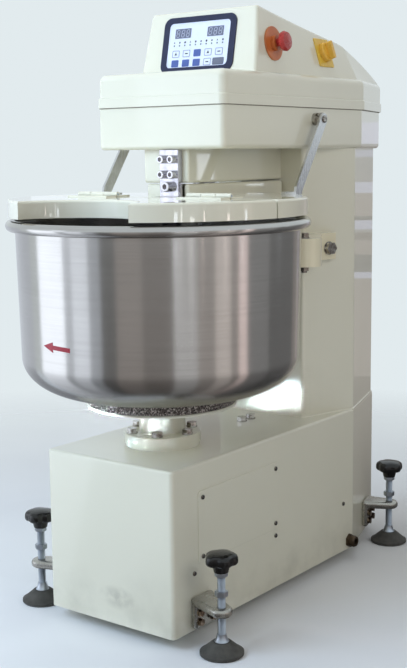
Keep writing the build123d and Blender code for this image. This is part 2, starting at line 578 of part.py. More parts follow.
def bowl_section(skin):
    """Half section inside the bowl's outer face by a skin thickness, closed along the axis."""
    wide, high = BOWL_CORNER - skin, BOWL_CORNER_HIGH - skin
    centre_z = BOWL_BOTTOM + BOWL_CORNER_HIGH
    slope = math.tan(WALL_TAPER)
    turn = math.atan(slope * high / wide)
    wall_foot = centre_z - high * math.sin(turn)
    centre = WALL_RADIUS - skin - wide * math.cos(turn) - (WALL_RADIUS_Z - wall_foot) * slope
    corner = EllipticalCenterArc((centre, centre_z), wide, high, 270, arc_size=90 - math.degrees(turn))
    rim = (WALL_RADIUS - skin + (BEAD_Z - WALL_RADIUS_Z) * slope, BEAD_Z)
    floor = Line((0, BOWL_BOTTOM + skin), corner @ 0)
    return make_face(floor + corner + Polyline(corner @ 1, rim, (0, BEAD_Z), (0, BOWL_BOTTOM + skin)))


def bowl():
    """Spun stainless bowl with a rolled rim."""
    shell = Plane.XZ * (bowl_section(0) - bowl_section(BOWL_SHEET))
    bead = Pos(0, 0, BEAD_Z) * Torus(RIM_RADIUS - BEAD, BEAD)
    return revolve(shell, axis=Axis.Z) + bead


def belt_half_width(depth):
    """Half width of a V-belt at a distance outside its pitch line."""
    slope = (BELT_HALF_OUT - BELT_HALF_IN) / (BELT_OUT + BELT_IN)
    return BELT_HALF_IN + slope * (depth + BELT_IN)


def v_pulley(pitch_radius, bore, grooves, low, y):
    """Grooved pulley on an upright axis."""
    rim, root = pitch_radius + BELT_OUT + 0.5, pitch_radius - BELT_IN - 1.5
    high = low + grooves * GROOVE_PITCH + 2 * GROOVE_MARGIN
    points = [(bore, low), (rim, low)]
    for i in range(grooves):
        middle = low + GROOVE_MARGIN + GROOVE_PITCH * (i + 0.5)
        wide = belt_half_width(BELT_OUT + 0.5) + GROOVE_GAP
        narrow = belt_half_width(-BELT_IN - 1.5) + GROOVE_GAP
        points += [(rim, middle - wide), (root, middle - narrow)]
        points += [(root, middle + narrow), (rim, middle + wide)]
    return turned(points + [(rim, high), (bore, high)], 0, y)


def belt_heights(grooves, low):
    """Middle heights of the belts on a pulley."""
    return [low + GROOVE_MARGIN + GROOVE_PITCH * (i + 0.5) for i in range(grooves)]


def v_belt(big, big_y, small, small_y, z):
    """Belt round a large and a small pulley, from its pitch radii."""
    span = small_y - big_y
    rise = (big - small) / span
    reach = math.sqrt(1 - rise * rise)
    near = [(big * reach, big_y + big * rise), (small * reach, small_y + small * rise)]
    far = [(-x, y) for x, y in near]
    loop = Line(near[0], near[1]) + ThreePointArc(near[1], (0, small_y + small), far[1])
    loop += Line(far[1], far[0]) + ThreePointArc(far[0], (0, big_y - big), near[0])
    section = plan([
        (BELT_OUT, -BELT_HALF_OUT), (BELT_OUT, BELT_HALF_OUT),
        (-BELT_IN, BELT_HALF_IN), (-BELT_IN, -BELT_HALF_IN),
    ])
    along = Vector(near[1][0] - near[0][0], near[1][1] - near[0][1], 0)
    start = Plane(origin=(*near[0], 0), x_dir=(reach, rise, 0), z_dir=along)
    return Pos(0, 0, z) * sweep(start * section, path=loop)


def bowl_pulley():
    """Large pulley under the hub, with a hub and a thin web."""
    pulley = v_pulley(BOWL_PITCH_RADIUS, BOWL_SHAFT_RADIUS, 2, BOWL_DRIVE_Z, 0)
    recess = column(82, 0, 12) - column(34, 0, 12)
    return pulley - Pos(0, 0, BOWL_DRIVE_Z) * recess - Pos(0, 0, BOWL_DRIVE_Z + 28) * recess


def bowl_motor_rotor():
    """Output shaft of the bowl gear motor and its small pulley."""
    shaft = column(12, 240, BOWL_DRIVE_Z + 40, 0, BOWL_MOTOR_Y)
    return [shaft, v_pulley(BOWL_MOTOR_PITCH_RADIUS, 12, 2, BOWL_DRIVE_Z, BOWL_MOTOR_Y)]


def bowl_belts():
    """Two belts from the bowl motor to the bowl pulley."""
    return [
        v_belt(BOWL_PITCH_RADIUS, 0, BOWL_MOTOR_PITCH_RADIUS, BOWL_MOTOR_Y, z)
        for z in belt_heights(2, BOWL_DRIVE_Z)
    ]


def bowl_motor():
    """Gear motor that hangs under the base top in its bracket, shaft upwards."""
    top = BASE_TOP - PLATE
    bracket = block((-62, 62), (BOWL_MOTOR_Y - 38, BOWL_MOTOR_Y + 38), (254, top))
    bracket -= block((-54, 54), (BOWL_MOTOR_Y - 60, BOWL_MOTOR_Y + 60), (262, top - 8))
    body = column(BOWL_MOTOR_RADIUS, 150, 254, 0, BOWL_MOTOR_Y)
    body += column(BOWL_MOTOR_RADIUS - 8, 90, 150, 0, BOWL_MOTOR_Y)
    motor = bracket + body - column(12 + RUNNING, 230, 270, 0, BOWL_MOTOR_Y)
    for x, y in HANGER_BOLTS:
        motor -= column(5, top - 8, top, x, y)
    return motor


def ease(t):
    """Smooth step from 0 to 1."""
    t = min(1.0, max(0.0, t))
    return t * t * (3 - 2 * t)


def spiral_path_point(turn):
    """Centre of the hook's bar at a fraction of its course: out from the shaft, round, and in again."""
    swing = math.radians(450 * turn - 60)
    radius = SPIRAL_RADIUS * (ease(turn / 0.26) - 0.72 * ease((turn - 0.72) / 0.28))
    drop = SPIRAL_TOP - 1 - SPIRAL_BOTTOM
    height = SPIRAL_TOP - 1 - drop * (turn * 1.25 - 0.25 * turn ** 4)
    return Vector(radius * math.cos(swing), SPIRAL_Y + radius * math.sin(swing), height)


def spiral_hook():
    """Round bar wound into a hook, swept along pairs of tangent arcs."""
    count, step = 14, 1e-4
    places = [i / count for i in range(count + 1)]
    points = [spiral_path_point(t) for t in places]
    tangents = [Vector(0, 0, -1)]
    for t in places[1:]:
        ahead, behind = spiral_path_point(t + step), spiral_path_point(t - step)
        tangents.append((ahead - behind).normalized())
    arcs = []
    for start, end, leave, arrive in zip(points, points[1:], tangents, tangents[1:]):
        middle = biarc_joint(start, end, leave, arrive)
        arcs.append(TangentArc(start, middle, tangent=leave))
        arcs.append(TangentArc(middle, end, tangent=arcs[-1] % 1))
    bar = sweep(Plane(origin=points[0], z_dir=tangents[0]) * Circle(SPIRAL_WIRE), path=Wire(arcs))
    neck = column(SPIRAL_WIRE + 4, SPIRAL_TOP - 30, SPIRAL_TOP, 0, SPIRAL_Y)
    tip = Pos(*points[-1]) * Sphere(SPIRAL_WIRE)
    return bar + neck + tip


def biarc_joint(start, end, leave, arrive):
    """Point where two arcs with given end directions meet without a corner."""
    gap, lean = end - start, leave + arrive
    a = 2 * (1 - leave.dot(arrive))
    b = 2 * gap.dot(lean)
    c = -gap.dot(gap)
    reach = -c / b if a < 1e-9 else (-b + math.sqrt(b * b - 4 * a * c)) / (2 * a)
    return (start + leave * reach + end - arrive * reach) * 0.5


def spiral_shaft():
    """Shaft from the hook through the arm to the spiral pulley, with a flange over the hook."""
    shaft = column(SPIRAL_SHAFT_RADIUS, SPIRAL_TOP, MAIN_DRIVE_Z + 60, 0, SPIRAL_Y)
    return shaft + column(30, SPIRAL_TOP, SPIRAL_TOP + 14, 0, SPIRAL_Y)


def spiral_pulley():
    """Large pulley in the head, with a hub and a thin web."""
    pulley = v_pulley(SPIRAL_PITCH_RADIUS, SPIRAL_SHAFT_RADIUS, 3, MAIN_DRIVE_Z, SPIRAL_Y)
    recess = column(102, 0, 20, 0, SPIRAL_Y) - column(42, 0, 20, 0, SPIRAL_Y)
    return pulley - Pos(0, 0, MAIN_DRIVE_Z) * recess - Pos(0, 0, MAIN_DRIVE_Z + 37) * recess


def main_motor_rotor():
    """Shaft of the main motor and its small pulley."""
    shaft = column(14, SHELF_TOP - SHELF - 30, MAIN_DRIVE_Z + 57, 0, MAIN_MOTOR_Y)
    return [shaft, v_pulley(MAIN_MOTOR_PITCH_RADIUS, 14, 3, MAIN_DRIVE_Z, MAIN_MOTOR_Y)]


def main_belts():
    """Three belts from the main motor to the spiral pulley."""
    return [
        v_belt(SPIRAL_PITCH_RADIUS, SPIRAL_Y, MAIN_MOTOR_PITCH_RADIUS, MAIN_MOTOR_Y, z)
        for z in belt_heights(3, MAIN_DRIVE_Z)
    ]


def main_motor():
    """Flanged motor that hangs from the shelf: ribbed body, fan cowl and terminal box."""
    top = SHELF_TOP - SHELF
    body = column(100, top - 14, top, 0, MAIN_MOTOR_Y)
    body += column(MAIN_MOTOR_RADIUS - 8, top - 270, top - 14, 0, MAIN_MOTOR_Y)
    body += column(MAIN_MOTOR_RADIUS, top - 330, top - 262, 0, MAIN_MOTOR_Y)
    rib = Pos(MAIN_MOTOR_RADIUS - 6, 0, 0) * Box(12, 4, 226)
    for i in range(20):
        body += Pos(0, MAIN_MOTOR_Y, top - 140) * Rot(0, 0, 18 * i + 9) * rib
    body += block((-40, 40), (MAIN_MOTOR_Y - 116, MAIN_MOTOR_Y - 70), (top - 190, top - 90))
    return body - column(14 + RUNNING, top - 40, top, 0, MAIN_MOTOR_Y)


def breaker_screw_places():
    """Places of the four bracket screws on the arm's front, as (x, z)."""
    return [
        (BREAKER_X + side * BREAKER_SCREW_HALF_PITCH, z) for side in (-1, 1) for z in BREAKER_SCREW_ROWS
    ]


def breaker_bar():
    """Breaker bar and the thick bracket plate that holds it to the arm."""
    half = BREAKER_WIDTH / 2
    plate = block(
        (BREAKER_X - half, BREAKER_X + half), (ARM_FRONT - BREAKER_THICK, ARM_FRONT), (800, HEAD_BOTTOM - 1)
    )
    plate = chamfer(plate.edges().filter_by(Axis.Z), 1)
    bar = column(BREAKER_BAR_RADIUS, BREAKER_BAR_BOTTOM, 846, BREAKER_X, ARM_FRONT - BREAKER_THICK / 2)
    bar = fillet(bar.edges().sort_by(Axis.Z)[0], 12)
    breaker = plate + bar
    for x, z in breaker_screw_places():
        breaker -= facing((x, ARM_FRONT, z), (0, 1, 0)) * Cylinder(5, 60)
    return breaker - facing((BREAKER_X, ARM_FRONT, BREAKER_LOW_SCREW_Z), (0, 1, 0)) * Cylinder(6, 60)


def breaker_screws():
    """Four cap screws into the arm and a larger one below them."""
    front = ARM_FRONT - BREAKER_THICK
    screws = [
        facing((x, front, z), (0, -1, 0)) * socket_screw(5, 8, 13, BREAKER_THICK + 12)
        for x, z in breaker_screw_places()
    ]
    low = facing((BREAKER_X, front, BREAKER_LOW_SCREW_Z), (0, -1, 0))
    return screws + [low * socket_screw(6, 10, 14, BREAKER_THICK)]


def lid_plan():
    """Whole outline of the lid: a disc with a rear tongue and the bite at the front."""
    tongue = plan([
        (TUNNEL_HALF, SPIRAL_Y), (TUNNEL_REAR_HALF, TUNNEL_REAR),
        (-TUNNEL_REAR_HALF, TUNNEL_REAR), (-TUNNEL_HALF, SPIRAL_Y),
    ])
    return Circle(LID_RADIUS) + tongue - Pos(BITE_X, BITE_Y, 0) * Circle(BITE_RADIUS)


def tunnel_plan():
    """Outline of the raised tunnel, wider towards the column."""
    front = ARM_FRONT + 3
    return plan([
        (-TUNNEL_HALF, front), (TUNNEL_HALF, front),
        (TUNNEL_REAR_HALF, TUNNEL_REAR), (-TUNNEL_REAR_HALF, TUNNEL_REAR),
    ])


def lid_tray(face):
    """Shallow inverted tray with a rounded upper edge."""
    tray = prism(face, LID_BOTTOM, LID_TOP)
    tray = fillet(tray.faces().sort_by(Axis.Z)[-1].edges(), 5)
    return tray - prism(offset(face, amount=-LID_WALL), LID_BOTTOM, LID_TOP - LID_WALL)


def lid_rear():
    """Fixed part of the lid, with the tunnel under the arm."""
    keep = Pos(0, 300 + LID_SPLIT + LID_SPLIT_GAP / 2, 0) * Rectangle(800, 600)
    lid = lid_tray(lid_plan() & keep)
    tunnel = prism(tunnel_plan(), LID_TOP - LID_WALL, TUNNEL_TOP)
    tunnel = fillet(tunnel.edges().filter_by(Axis.Z), 7)
    lid += fillet(tunnel.faces().sort_by(Axis.Z)[-1].edges(), 5)
    lid -= prism(shrink(tunnel_plan(), 5), LID_TOP - LID_WALL, TUNNEL_TOP - LID_WALL)
    lid -= column(SPIRAL_SHAFT_RADIUS + 6, LID_BOTTOM, TUNNEL_TOP, 0, SPIRAL_Y)
    half = BREAKER_WIDTH / 2 + 2.5
    return lid - block((BREAKER_X - half, BREAKER_X + half), (-8, 46), (LID_BOTTOM, TUNNEL_TOP))


def lid_flap():
    """Hinged front part of the lid, with the bite."""
    keep = Pos(0, -300 + LID_SPLIT - LID_SPLIT_GAP / 2, 0) * Rectangle(800, 600)
    return lid_tray(lid_plan() & keep)


def hinge_rod(x_range, radius):
    """Cylinder on the hinge line between two distances from the middle."""
    middle = (x_range[0] + x_range[1]) / 2
    return facing((middle, LID_SPLIT, HINGE_Z), (1, 0, 0)) * Cylinder(radius, x_range[1] - x_range[0])


def hinge_leaf(direction, knuckles, bore):
    """Leaf on one side of the hinge line with its barrels."""
    inner = LID_SPLIT + direction * (HINGE_RADIUS + 0.8)
    outer = inner + direction * HINGE_LEAF_DEPTH
    leaf = block((HINGE_NEAR, HINGE_FAR), sorted((inner, outer)), (LID_TOP, LID_TOP + HINGE_LEAF))
    for x_range in knuckles:
        web = block(x_range, sorted((LID_SPLIT, inner)), (LID_TOP, LID_TOP + HINGE_LEAF))
        leaf += web + hinge_rod(x_range, HINGE_RADIUS)
    return leaf - hinge_rod((HINGE_NEAR, HINGE_FAR), bore)


def hinge_thirds():
    """Outer and middle stretches of a hinge."""
    third = (HINGE_FAR - HINGE_NEAR) / 3
    a, b = HINGE_NEAR + third, HINGE_FAR - third
    return [(HINGE_NEAR, a - 0.4), (b + 0.4, HINGE_FAR)], [(a + 0.4, b - 0.4)]


def lid_hinge_leaves():
    """Fixed hinge leaves on the rear lid."""
    leaf = hinge_leaf(1, hinge_thirds()[0], HINGE_PIN)
    return [leaf, mirrored(leaf)]


def lid_flap_leaves():
    """Moving hinge leaves on the flap."""
    leaf = hinge_leaf(-1, hinge_thirds()[1], HINGE_PIN + RUNNING)
    return [leaf, mirrored(leaf)]


def lid_hinge_pins():
    """Hinge pins."""
    pin = hinge_rod((HINGE_NEAR, HINGE_FAR), HINGE_PIN)
    return [pin, mirrored(pin)]


def lid_stay(top_y, foot_y):
    """Flat bar from the head's side down to the lid, with a tab bent inwards on the lid."""
    half = STAY_WIDTH / 2
    lean = Vector(0, top_y - foot_y, STAY_TOP_Z - LID_TOP).normalized()
    across = Vector(0, lean.Z, -lean.Y)
    top, foot = Vector(0, top_y, STAY_TOP_Z), Vector(0, foot_y, LID_TOP)
    rise = half / lean.Z * abs(across.Z)
    low = foot + lean * ((rise + 1) / lean.Z)
    corners = [top + across * half, low + across * half, Vector(0, low.Y + half, LID_TOP)]
    corners += [Vector(0, low.Y - half, LID_TOP), low - across * half, top - across * half]
    bar = extrude(Plane.YZ * plan([(c.Y, c.Z) for c in corners]), amount=STAY_THICK)
    bar += facing((STAY_THICK / 2, top_y, STAY_TOP_Z), (1, 0, 0)) * Cylinder(half, STAY_THICK)
    bar += block((-STAY_TAB, STAY_THICK), (low.Y - half, low.Y + half), (LID_TOP, LID_TOP + STAY_THICK))
    bar -= facing((0, top_y, STAY_TOP_Z), (1, 0, 0)) * Cylinder(4, 40)
    return Pos(STAY_X, 0, 0) * bar


def lid_stays():
    """The two stays: the left one stands further forward than the right one."""
    return [
        lid_stay(STAY_RIGHT_TOP_Y, STAY_RIGHT_FOOT_Y),
        mirrored(lid_stay(STAY_LEFT_TOP_Y, STAY_LEFT_FOOT_Y)),
    ]


def stay_bolts():
    """Low round bolts of the stays on the head, each with the boss behind its stay."""
    inner = STAY_X - HEAD_HALF + STAY_THICK
    bolt = fillet(column(8, 0, 3.5).edges().sort_by(Axis.Z)[-1], 2.5)
    bolt += column(4, -inner - SHEET - 4, 0) + column(STAY_BOSS, -inner, -STAY_THICK)
    return [
        facing((side * (STAY_X + STAY_THICK), y, STAY_TOP_Z), (side, 0, 0)) * bolt
        for side, y in ((1, STAY_RIGHT_TOP_Y), (-1, STAY_LEFT_TOP_Y))
    ]


def roller_arm():
    """Guide-roller arm: a block with a flange on the column's side and a pocket round the roller."""
    near = COLUMN_CORNER + COLUMN_SIDE * 4
    bend = COLUMN_CORNER + COLUMN_SIDE * ROLLER_FLANGE_NEAR + COLUMN_OUT * ROLLER_FLANGE
    far = COLUMN_CORNER + COLUMN_SIDE * ROLLER_FLANGE_FAR
    end = far + COLUMN_OUT * ROLLER_FLANGE
    points = [(v.X, v.Y) for v in (near, far, end, bend)]
    points += [(ROLLER_X + 33, ROLLER_Y + 12), (ROLLER_X + 16, ROLLER_Y - 31)]
    points.append((ROLLER_X - 34, ROLLER_Y + 8))
    arm = prism(plan(points), ROLLER_ARM_BOTTOM, ROLLER_ARM_TOP)
    arm += column(36, ROLLER_ARM_BOTTOM, ROLLER_ARM_TOP, ROLLER_X, ROLLER_Y)
    low, high = ROLLER_Z - ROLLER_HALF - 1, ROLLER_Z + ROLLER_HALF + 1
    arm -= column(ROLLER_RADIUS + 1.5, low, high, ROLLER_X, ROLLER_Y)
    arm -= column(WALL_RADIUS + 5, ROLLER_ARM_BOTTOM, ROLLER_ARM_TOP)
    arm -= column(ROLLER_AXLE, ROLLER_ARM_BOTTOM, ROLLER_ARM_TOP, ROLLER_X, ROLLER_Y)
    return arm - facing(ARM_BOLT_PLACE, COLUMN_OUT) * Cylinder(8, 80)


def roller_arms():
    """Both guide-roller arms."""
    return [roller_arm(), mirrored(roller_arm())]


def roller_arm_bolts():
    """Bolts of the guide-roller arms into the column."""
    seat = ARM_BOLT_PLACE + COLUMN_OUT * ROLLER_FLANGE
    bolt = facing(seat, COLUMN_OUT) * hex_bolt(8, 24, 10, ROLLER_FLANGE + SHEET + 6)
    return [bolt, mirrored(bolt)]


def roller_axles():
    """Upright axle bolts of the guide rollers, nut below."""
    bolt = Pos(ROLLER_X, ROLLER_Y, ROLLER_ARM_TOP) * hex_bolt(
        ROLLER_AXLE, 19, 8, ROLLER_ARM_TOP - ROLLER_ARM_BOTTOM + 14
    )
    nut = Pos(ROLLER_X, ROLLER_Y, ROLLER_ARM_BOTTOM - 10) * extrude(RegularPolygon(11, 6), amount=10)
    return [bolt + nut, mirrored(bolt + nut)]


def guide_roller(side):
    """Roller with rounded rims that runs on the bowl wall."""
    roller = column(ROLLER_RADIUS, ROLLER_Z - ROLLER_HALF, ROLLER_Z + ROLLER_HALF)
    roller = fillet(roller.edges(), 3) - column(ROLLER_AXLE + RUNNING, 0, 1000)
    return Pos(side * ROLLER_X, ROLLER_Y, 0) * roller


def foot_places():
    """Location of each foot bracket on the base: local X points away from the wall."""
    rear = TAPER_START + TAPER_ALONG * FOOT_REAR_ALONG
    turn = math.degrees(math.atan2(TAPER_OUT.Y, TAPER_OUT.X))
    return {
        "front_left": Pos(-BASE_HALF, FOOT_FRONT_Y, 0) * Rot(0, 0, 180),
        "front_right": Pos(BASE_HALF, FOOT_FRONT_Y, 0),
        "rear_left": Pos(-rear.X, rear.Y, 0) * Rot(0, 0, 180 - turn),
        "rear_right": Pos(rear.X, rear.Y, 0) * Rot(0, 0, turn),
    }


def foot_rod(name):
    """Place of a foot's rod from the middle of its bracket: outwards, and along the wall."""
    out, skew = (FOOT_REAR_OUT, FOOT_REAR_SKEW) if "rear" in name else (FOOT_FRONT_OUT, FOOT_FRONT_SKEW)
    return Pos(out, -skew if "left" in name else skew, 0)


def lug_top(name):
    """Height of the upper face of a foot's lug."""
    return FOOT_REAR_LUG if "rear" in name else FOOT_FRONT_LUG


def foot_bolt_places(name):
    """The four bolts of a foot bracket, on its wall and pointing outwards."""
    sides = (-FOOT_BOLT_HALF_PITCH, FOOT_BOLT_HALF_PITCH)
    return [facing((0, y, lug_top(name) - drop), (1, 0, 0)) for y in sides for drop in FOOT_BOLT_DROPS]


def foot_bracket(name):
    """Cast bracket: a leg on the base, bent over into a lug that narrows to the rod."""
    top = lug_top(name)
    half = LUG_WIDTH / 2
    rod = foot_rod(name)
    end = rod * Circle(LUG_END)
    root = Pos(LEG_THICK / 2, 0, 0) * Rectangle(LEG_THICK, LUG_WIDTH)
    lug = prism(make_hull(end.edges() + root.edges()), top - LUG_THICK, top)
    bracket = lug + block((0, LEG_THICK), (-half, half), (top - LEG_HIGH, top))
    rim = bracket.faces().sort_by(Axis.Z)[-1].edges()
    bracket = fillet([edge for edge in rim if edge.center().X > 1], 5)
    round_bend = facing((LEG_BEND, 0, top - LEG_BEND), (0, 1, 0)) * Cylinder(LEG_BEND, LUG_WIDTH)
    bracket -= block((0, LEG_BEND), (-half, half), (top - LEG_BEND, top)) - round_bend
    bracket -= rod * column(ROD_RADIUS + RUNNING, 0, 200)
    for bolt in foot_bolt_places(name):
        bracket -= bolt * Cylinder(FOOT_BOLT, 80)
    return foot_places()[name] * bracket


def foot_screw(name):
    """Threaded rod with its lock nut, the nut under the knob and the flared end on the pad."""
    rod = column(ROD_RADIUS, ROD_BOTTOM, KNOB_BOTTOM + 20)
    hexagon = RegularPolygon(NUT_FLATS / math.sqrt(3), 6)
    rod += Pos(0, 0, LOCK_NUT_Z) * extrude(hexagon, amount=LOCK_NUT_HIGH)
    rod += Pos(0, 0, KNOB_BOTTOM - KNOB_NUT_HIGH) * extrude(hexagon, amount=KNOB_NUT_HIGH)
    low = PAD_TOP + 0.2
    rod += turned([(0, low), (14, low), (12, low + 5), (10, BELL_TOP), (0, BELL_TOP)])
    return foot_places()[name] * foot_rod(name) * rod


def foot_knob(name):
    """Star knob: a rounded head with lobes on a round neck."""
    head = column(KNOB_RADIUS, KNOB_NECK, KNOB_TOP)
    hollow = column(15, KNOB_NECK, KNOB_TOP, KNOB_RADIUS + 9.5)
    for i in range(KNOB_LOBES):
        head -= Rot(0, 0, 360 / KNOB_LOBES * i) * hollow
    knob = softened(head, 8, 7.5, 7)
    neck_top = KNOB_NECK + 6
    knob += turned([(0, KNOB_BOTTOM), (14, KNOB_BOTTOM), (16.5, neck_top), (0, neck_top)])
    knob -= column(ROD_RADIUS, 0, KNOB_BOTTOM + 20)
    return foot_places()[name] * foot_rod(name) * knob


def foot_pad(name):
    """Rubber pad with a raised middle and a socket for the rod."""
    profile = [
        (0, 0), (PAD_RADIUS - 2, 0), (PAD_RADIUS, 2), (PAD_RADIUS, PAD_THICK),
        (PAD_RADIUS - 5, PAD_THICK + 3), (18, PAD_TOP), (0, PAD_TOP),
    ]
    pad = turned(profile) - column(ROD_RADIUS + RUNNING, ROD_BOTTOM - 0.2, 100)
    return foot_places()[name] * foot_rod(name) * pad


def foot_brackets():
    """The four foot brackets."""
    return [foot_bracket(name) for name in foot_places()]


def hex_bolts():
    """Bolts of the hub flange, the motor hanger, the foot brackets, the roller arms and the stays."""
    hub_bolt = hex_bolt(5, 19, 8, FLANGE_TOP - BASE_TOP + PLATE)
    bolts = [Pos(x, y, FLANGE_TOP) * hub_bolt for x, y in HUB_BOLTS]
    bolts += [Pos(x, y, BASE_TOP) * hex_bolt(5, 19, 8, PLATE + 8) for x, y in HANGER_BOLTS]
    for name, place in foot_places().items():
        for bolt in foot_bolt_places(name):
            seat = place * bolt * Pos(0, 0, LEG_THICK)
            bolts.append(seat * hex_bolt(FOOT_BOLT, 13, 5.5, LEG_THICK + SHEET))
    return bolts + roller_arm_bolts() + stay_bolts()


def parts():
    """Every node by name, drawn about the bowl axis."""
    fixed = [
        base_shell, base_floor, access_cover, panel_screws, column_shell, rear_cover, motor_shelf,
        arm_casting, head_housing, head_cover, control_panel, keypad, estop_plate, isolator_plate,
        cable_gland, hub_housing, ball_bearings, bowl_belts, bowl_motor, main_belts, main_motor,
        breaker_bar, breaker_screws, lid_rear, lid_hinge_leaves, lid_hinge_pins, lid_stays,
        roller_arms, roller_axles, foot_brackets, hex_bolts,
    ]
    moving = [
        bowl_shaft, turntable, bowl_foot_ring, bowl, bowl_pulley, bowl_motor_rotor, spiral_hook,
        spiral_shaft, spiral_pulley, main_motor_rotor, lid_flap, lid_flap_leaves, estop_button,
        isolator_knob,
    ]
    nodes = {make.__name__: make() for make in fixed + moving}
    nodes["guide_roller_left"] = guide_roller(-1)
    nodes["guide_roller_right"] = guide_roller(1)
    for name in foot_places():
        nodes["foot_screw_" + name] = foot_screw(name)
        nodes["foot_knob_" + name] = foot_knob(name)
        nodes["foot_pad_" + name] = foot_pad(name)
    return nodes


os.makedirs("parts", exist_ok=True)
for node, shape in parts().items():
    pieces = shape if isinstance(shape, list) else [shape]
    group = Compound([solid for piece in pieces for solid in piece.solids()])
    export_step(Pos(0, AXIS_Y, 0) * group, os.path.join("parts", node + ".step"))
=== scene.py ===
"""Looks of a spiral dough mixer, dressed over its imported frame.

Everything is in metres in the machine's own frame: +Z up, -Y the front, +X the right side.
The bowl turns about an upright axis at BOWL_AXIS.
"""

from __future__ import annotations

import json
import logging
import math
from dataclasses import dataclass, field
from enum import Enum
from functools import cache

import bmesh
import bpy
import numpy as np
from mathutils import Matrix, Vector

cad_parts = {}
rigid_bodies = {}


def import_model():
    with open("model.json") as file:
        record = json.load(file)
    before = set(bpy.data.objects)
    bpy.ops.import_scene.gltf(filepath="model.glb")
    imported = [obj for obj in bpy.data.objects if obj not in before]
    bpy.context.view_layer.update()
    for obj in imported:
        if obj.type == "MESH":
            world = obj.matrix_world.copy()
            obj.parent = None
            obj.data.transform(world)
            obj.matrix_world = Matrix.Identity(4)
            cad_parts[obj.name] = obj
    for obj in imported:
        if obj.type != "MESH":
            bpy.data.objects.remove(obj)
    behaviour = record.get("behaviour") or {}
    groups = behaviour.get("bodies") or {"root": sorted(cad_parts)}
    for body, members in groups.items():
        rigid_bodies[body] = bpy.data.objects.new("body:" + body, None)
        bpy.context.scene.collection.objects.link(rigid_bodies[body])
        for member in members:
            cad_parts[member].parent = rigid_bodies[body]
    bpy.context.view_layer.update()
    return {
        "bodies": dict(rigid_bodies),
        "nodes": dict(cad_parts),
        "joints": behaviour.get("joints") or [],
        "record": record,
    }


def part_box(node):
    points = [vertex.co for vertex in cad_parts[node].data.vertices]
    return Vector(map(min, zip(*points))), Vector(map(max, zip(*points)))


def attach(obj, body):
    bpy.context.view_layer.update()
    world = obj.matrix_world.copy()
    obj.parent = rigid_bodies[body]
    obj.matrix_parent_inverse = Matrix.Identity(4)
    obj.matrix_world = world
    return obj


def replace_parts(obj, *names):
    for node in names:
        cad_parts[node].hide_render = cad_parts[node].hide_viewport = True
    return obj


LOG = logging.getLogger("dough_mixer")
MM = 0.001
BOWL_AXIS = np.array([0.0, -0.212, 0.0])
# Values between which most of a cloudy pattern lies.
NOISE_SPAN = (0.3, 0.7)


class Tint(Enum):
    """Colours of the machine, as sRGB values from 0 to 255."""

    IVORY = (226, 223, 205)
    IVORY_SHADE = (215, 211, 191)
    # Darker ivory for the grime near the floor and for a darker spot on the base's front.
    IVORY_DARKENED = (146, 143, 131)
    # Lighter, yellower ivory of the roller arms: painted light for the light they catch in front of the
    # column.
    IVORY_PAINTED_LIGHT = (233, 225, 197)
    IVORY_PAINTED_LIGHT_CLOUD = (222, 212, 180)
    STEEL = (196, 194, 192)
    STEEL_DARK = (168, 165, 162)
    # Painted shade on the bowl's lower corner.
    STEEL_PAINTED_SHADE = (128, 126, 124)
    BRACKET_STEEL = (216, 217, 220)
    ZINC = (190, 198, 209)
    ZINC_DULL = (140, 146, 156)
    GROUND_STEEL = (200, 201, 204)
    CHROME = (196, 194, 190)
    CHROME_DARK = (138, 134, 129)
    MIRROR = (206, 204, 212)
    MIRROR_DARK = (150, 148, 158)
    BOLT_BROWN = (168, 150, 132)
    BOLT_DARK = (92, 78, 66)
    PITTED = (92, 84, 80)
    PITTED_LIGHT = (198, 190, 182)
    CAST = (182, 180, 174)
    CAST_DARK = (138, 135, 128)
    MOTOR = (98, 108, 114)
    MOTOR_DARK = (74, 82, 88)
    BLACK = (15, 14, 14)
    BLACK_WORN = (26, 25, 24)
    RUBBER = (64, 63, 60)
    RUBBER_DUST = (84, 82, 77)
    GLAND = (84, 69, 53)
    GLAND_DARK = (50, 41, 33)
    NYLON = (226, 223, 212)
    NYLON_SHADE = (205, 200, 186)
    NAVY = (31, 36, 67)
    NAVY_DARK = (22, 25, 49)
    FILM = (222, 227, 247)
    FILM_SHADE = (206, 213, 238)
    WINDOW = (112, 116, 136)
    WINDOW_DARK = (96, 100, 120)
    DIGIT = (160, 165, 184)
    KEY_BLUE = (72, 92, 158)
    KEY_BLUE_DARK = (58, 78, 140)
    KEY_GREY = (104, 108, 126)
    KEY_GREY_DARK = (90, 94, 112)
    KEY_LINE = (142, 150, 180)
    # Ink of the panel's marks; it also paints the shade in the screws' slots.
    MARK_AND_PAINTED_SHADE = (52, 52, 64)
    LAMP = (104, 118, 112)
    AMBER = (200, 116, 62)
    AMBER_DARK = (176, 86, 40)
    YELLOW = (232, 196, 78)
    YELLOW_DARK = (214, 170, 58)
    ORANGE = (236, 186, 76)
    RED = (180, 55, 50)
    RED_DARK = (147, 34, 35)
    DECAL_RED = (156, 24, 48)
    DECAL_RED_DARK = (134, 20, 38)
    # Seal grey, which also paints the shade under the cover's lip.
    SEAL_AND_PAINTED_SHADE = (138, 132, 118)
    SEAL_SHADE = (112, 107, 96)
    BRASS = (120, 104, 78)
    FLOOR = (236, 238, 240)
    FLOOR_SHADE = (228, 230, 233)

    @property
    def linear(self) -> tuple[float, float, float, float]:
        """The colour as a shader reads it: each sRGB value made linear, and full opacity.

        Returns:
            Red, green, blue and opacity from 0 to 1.
        """
        parts = np.array(self.value) / 255.0
        low, high = parts / 12.92, ((parts + 0.055) / 1.055) ** 2.4
        red, green, blue = np.where(parts <= 0.04045, low, high).tolist()
        return red, green, blue, 1.0


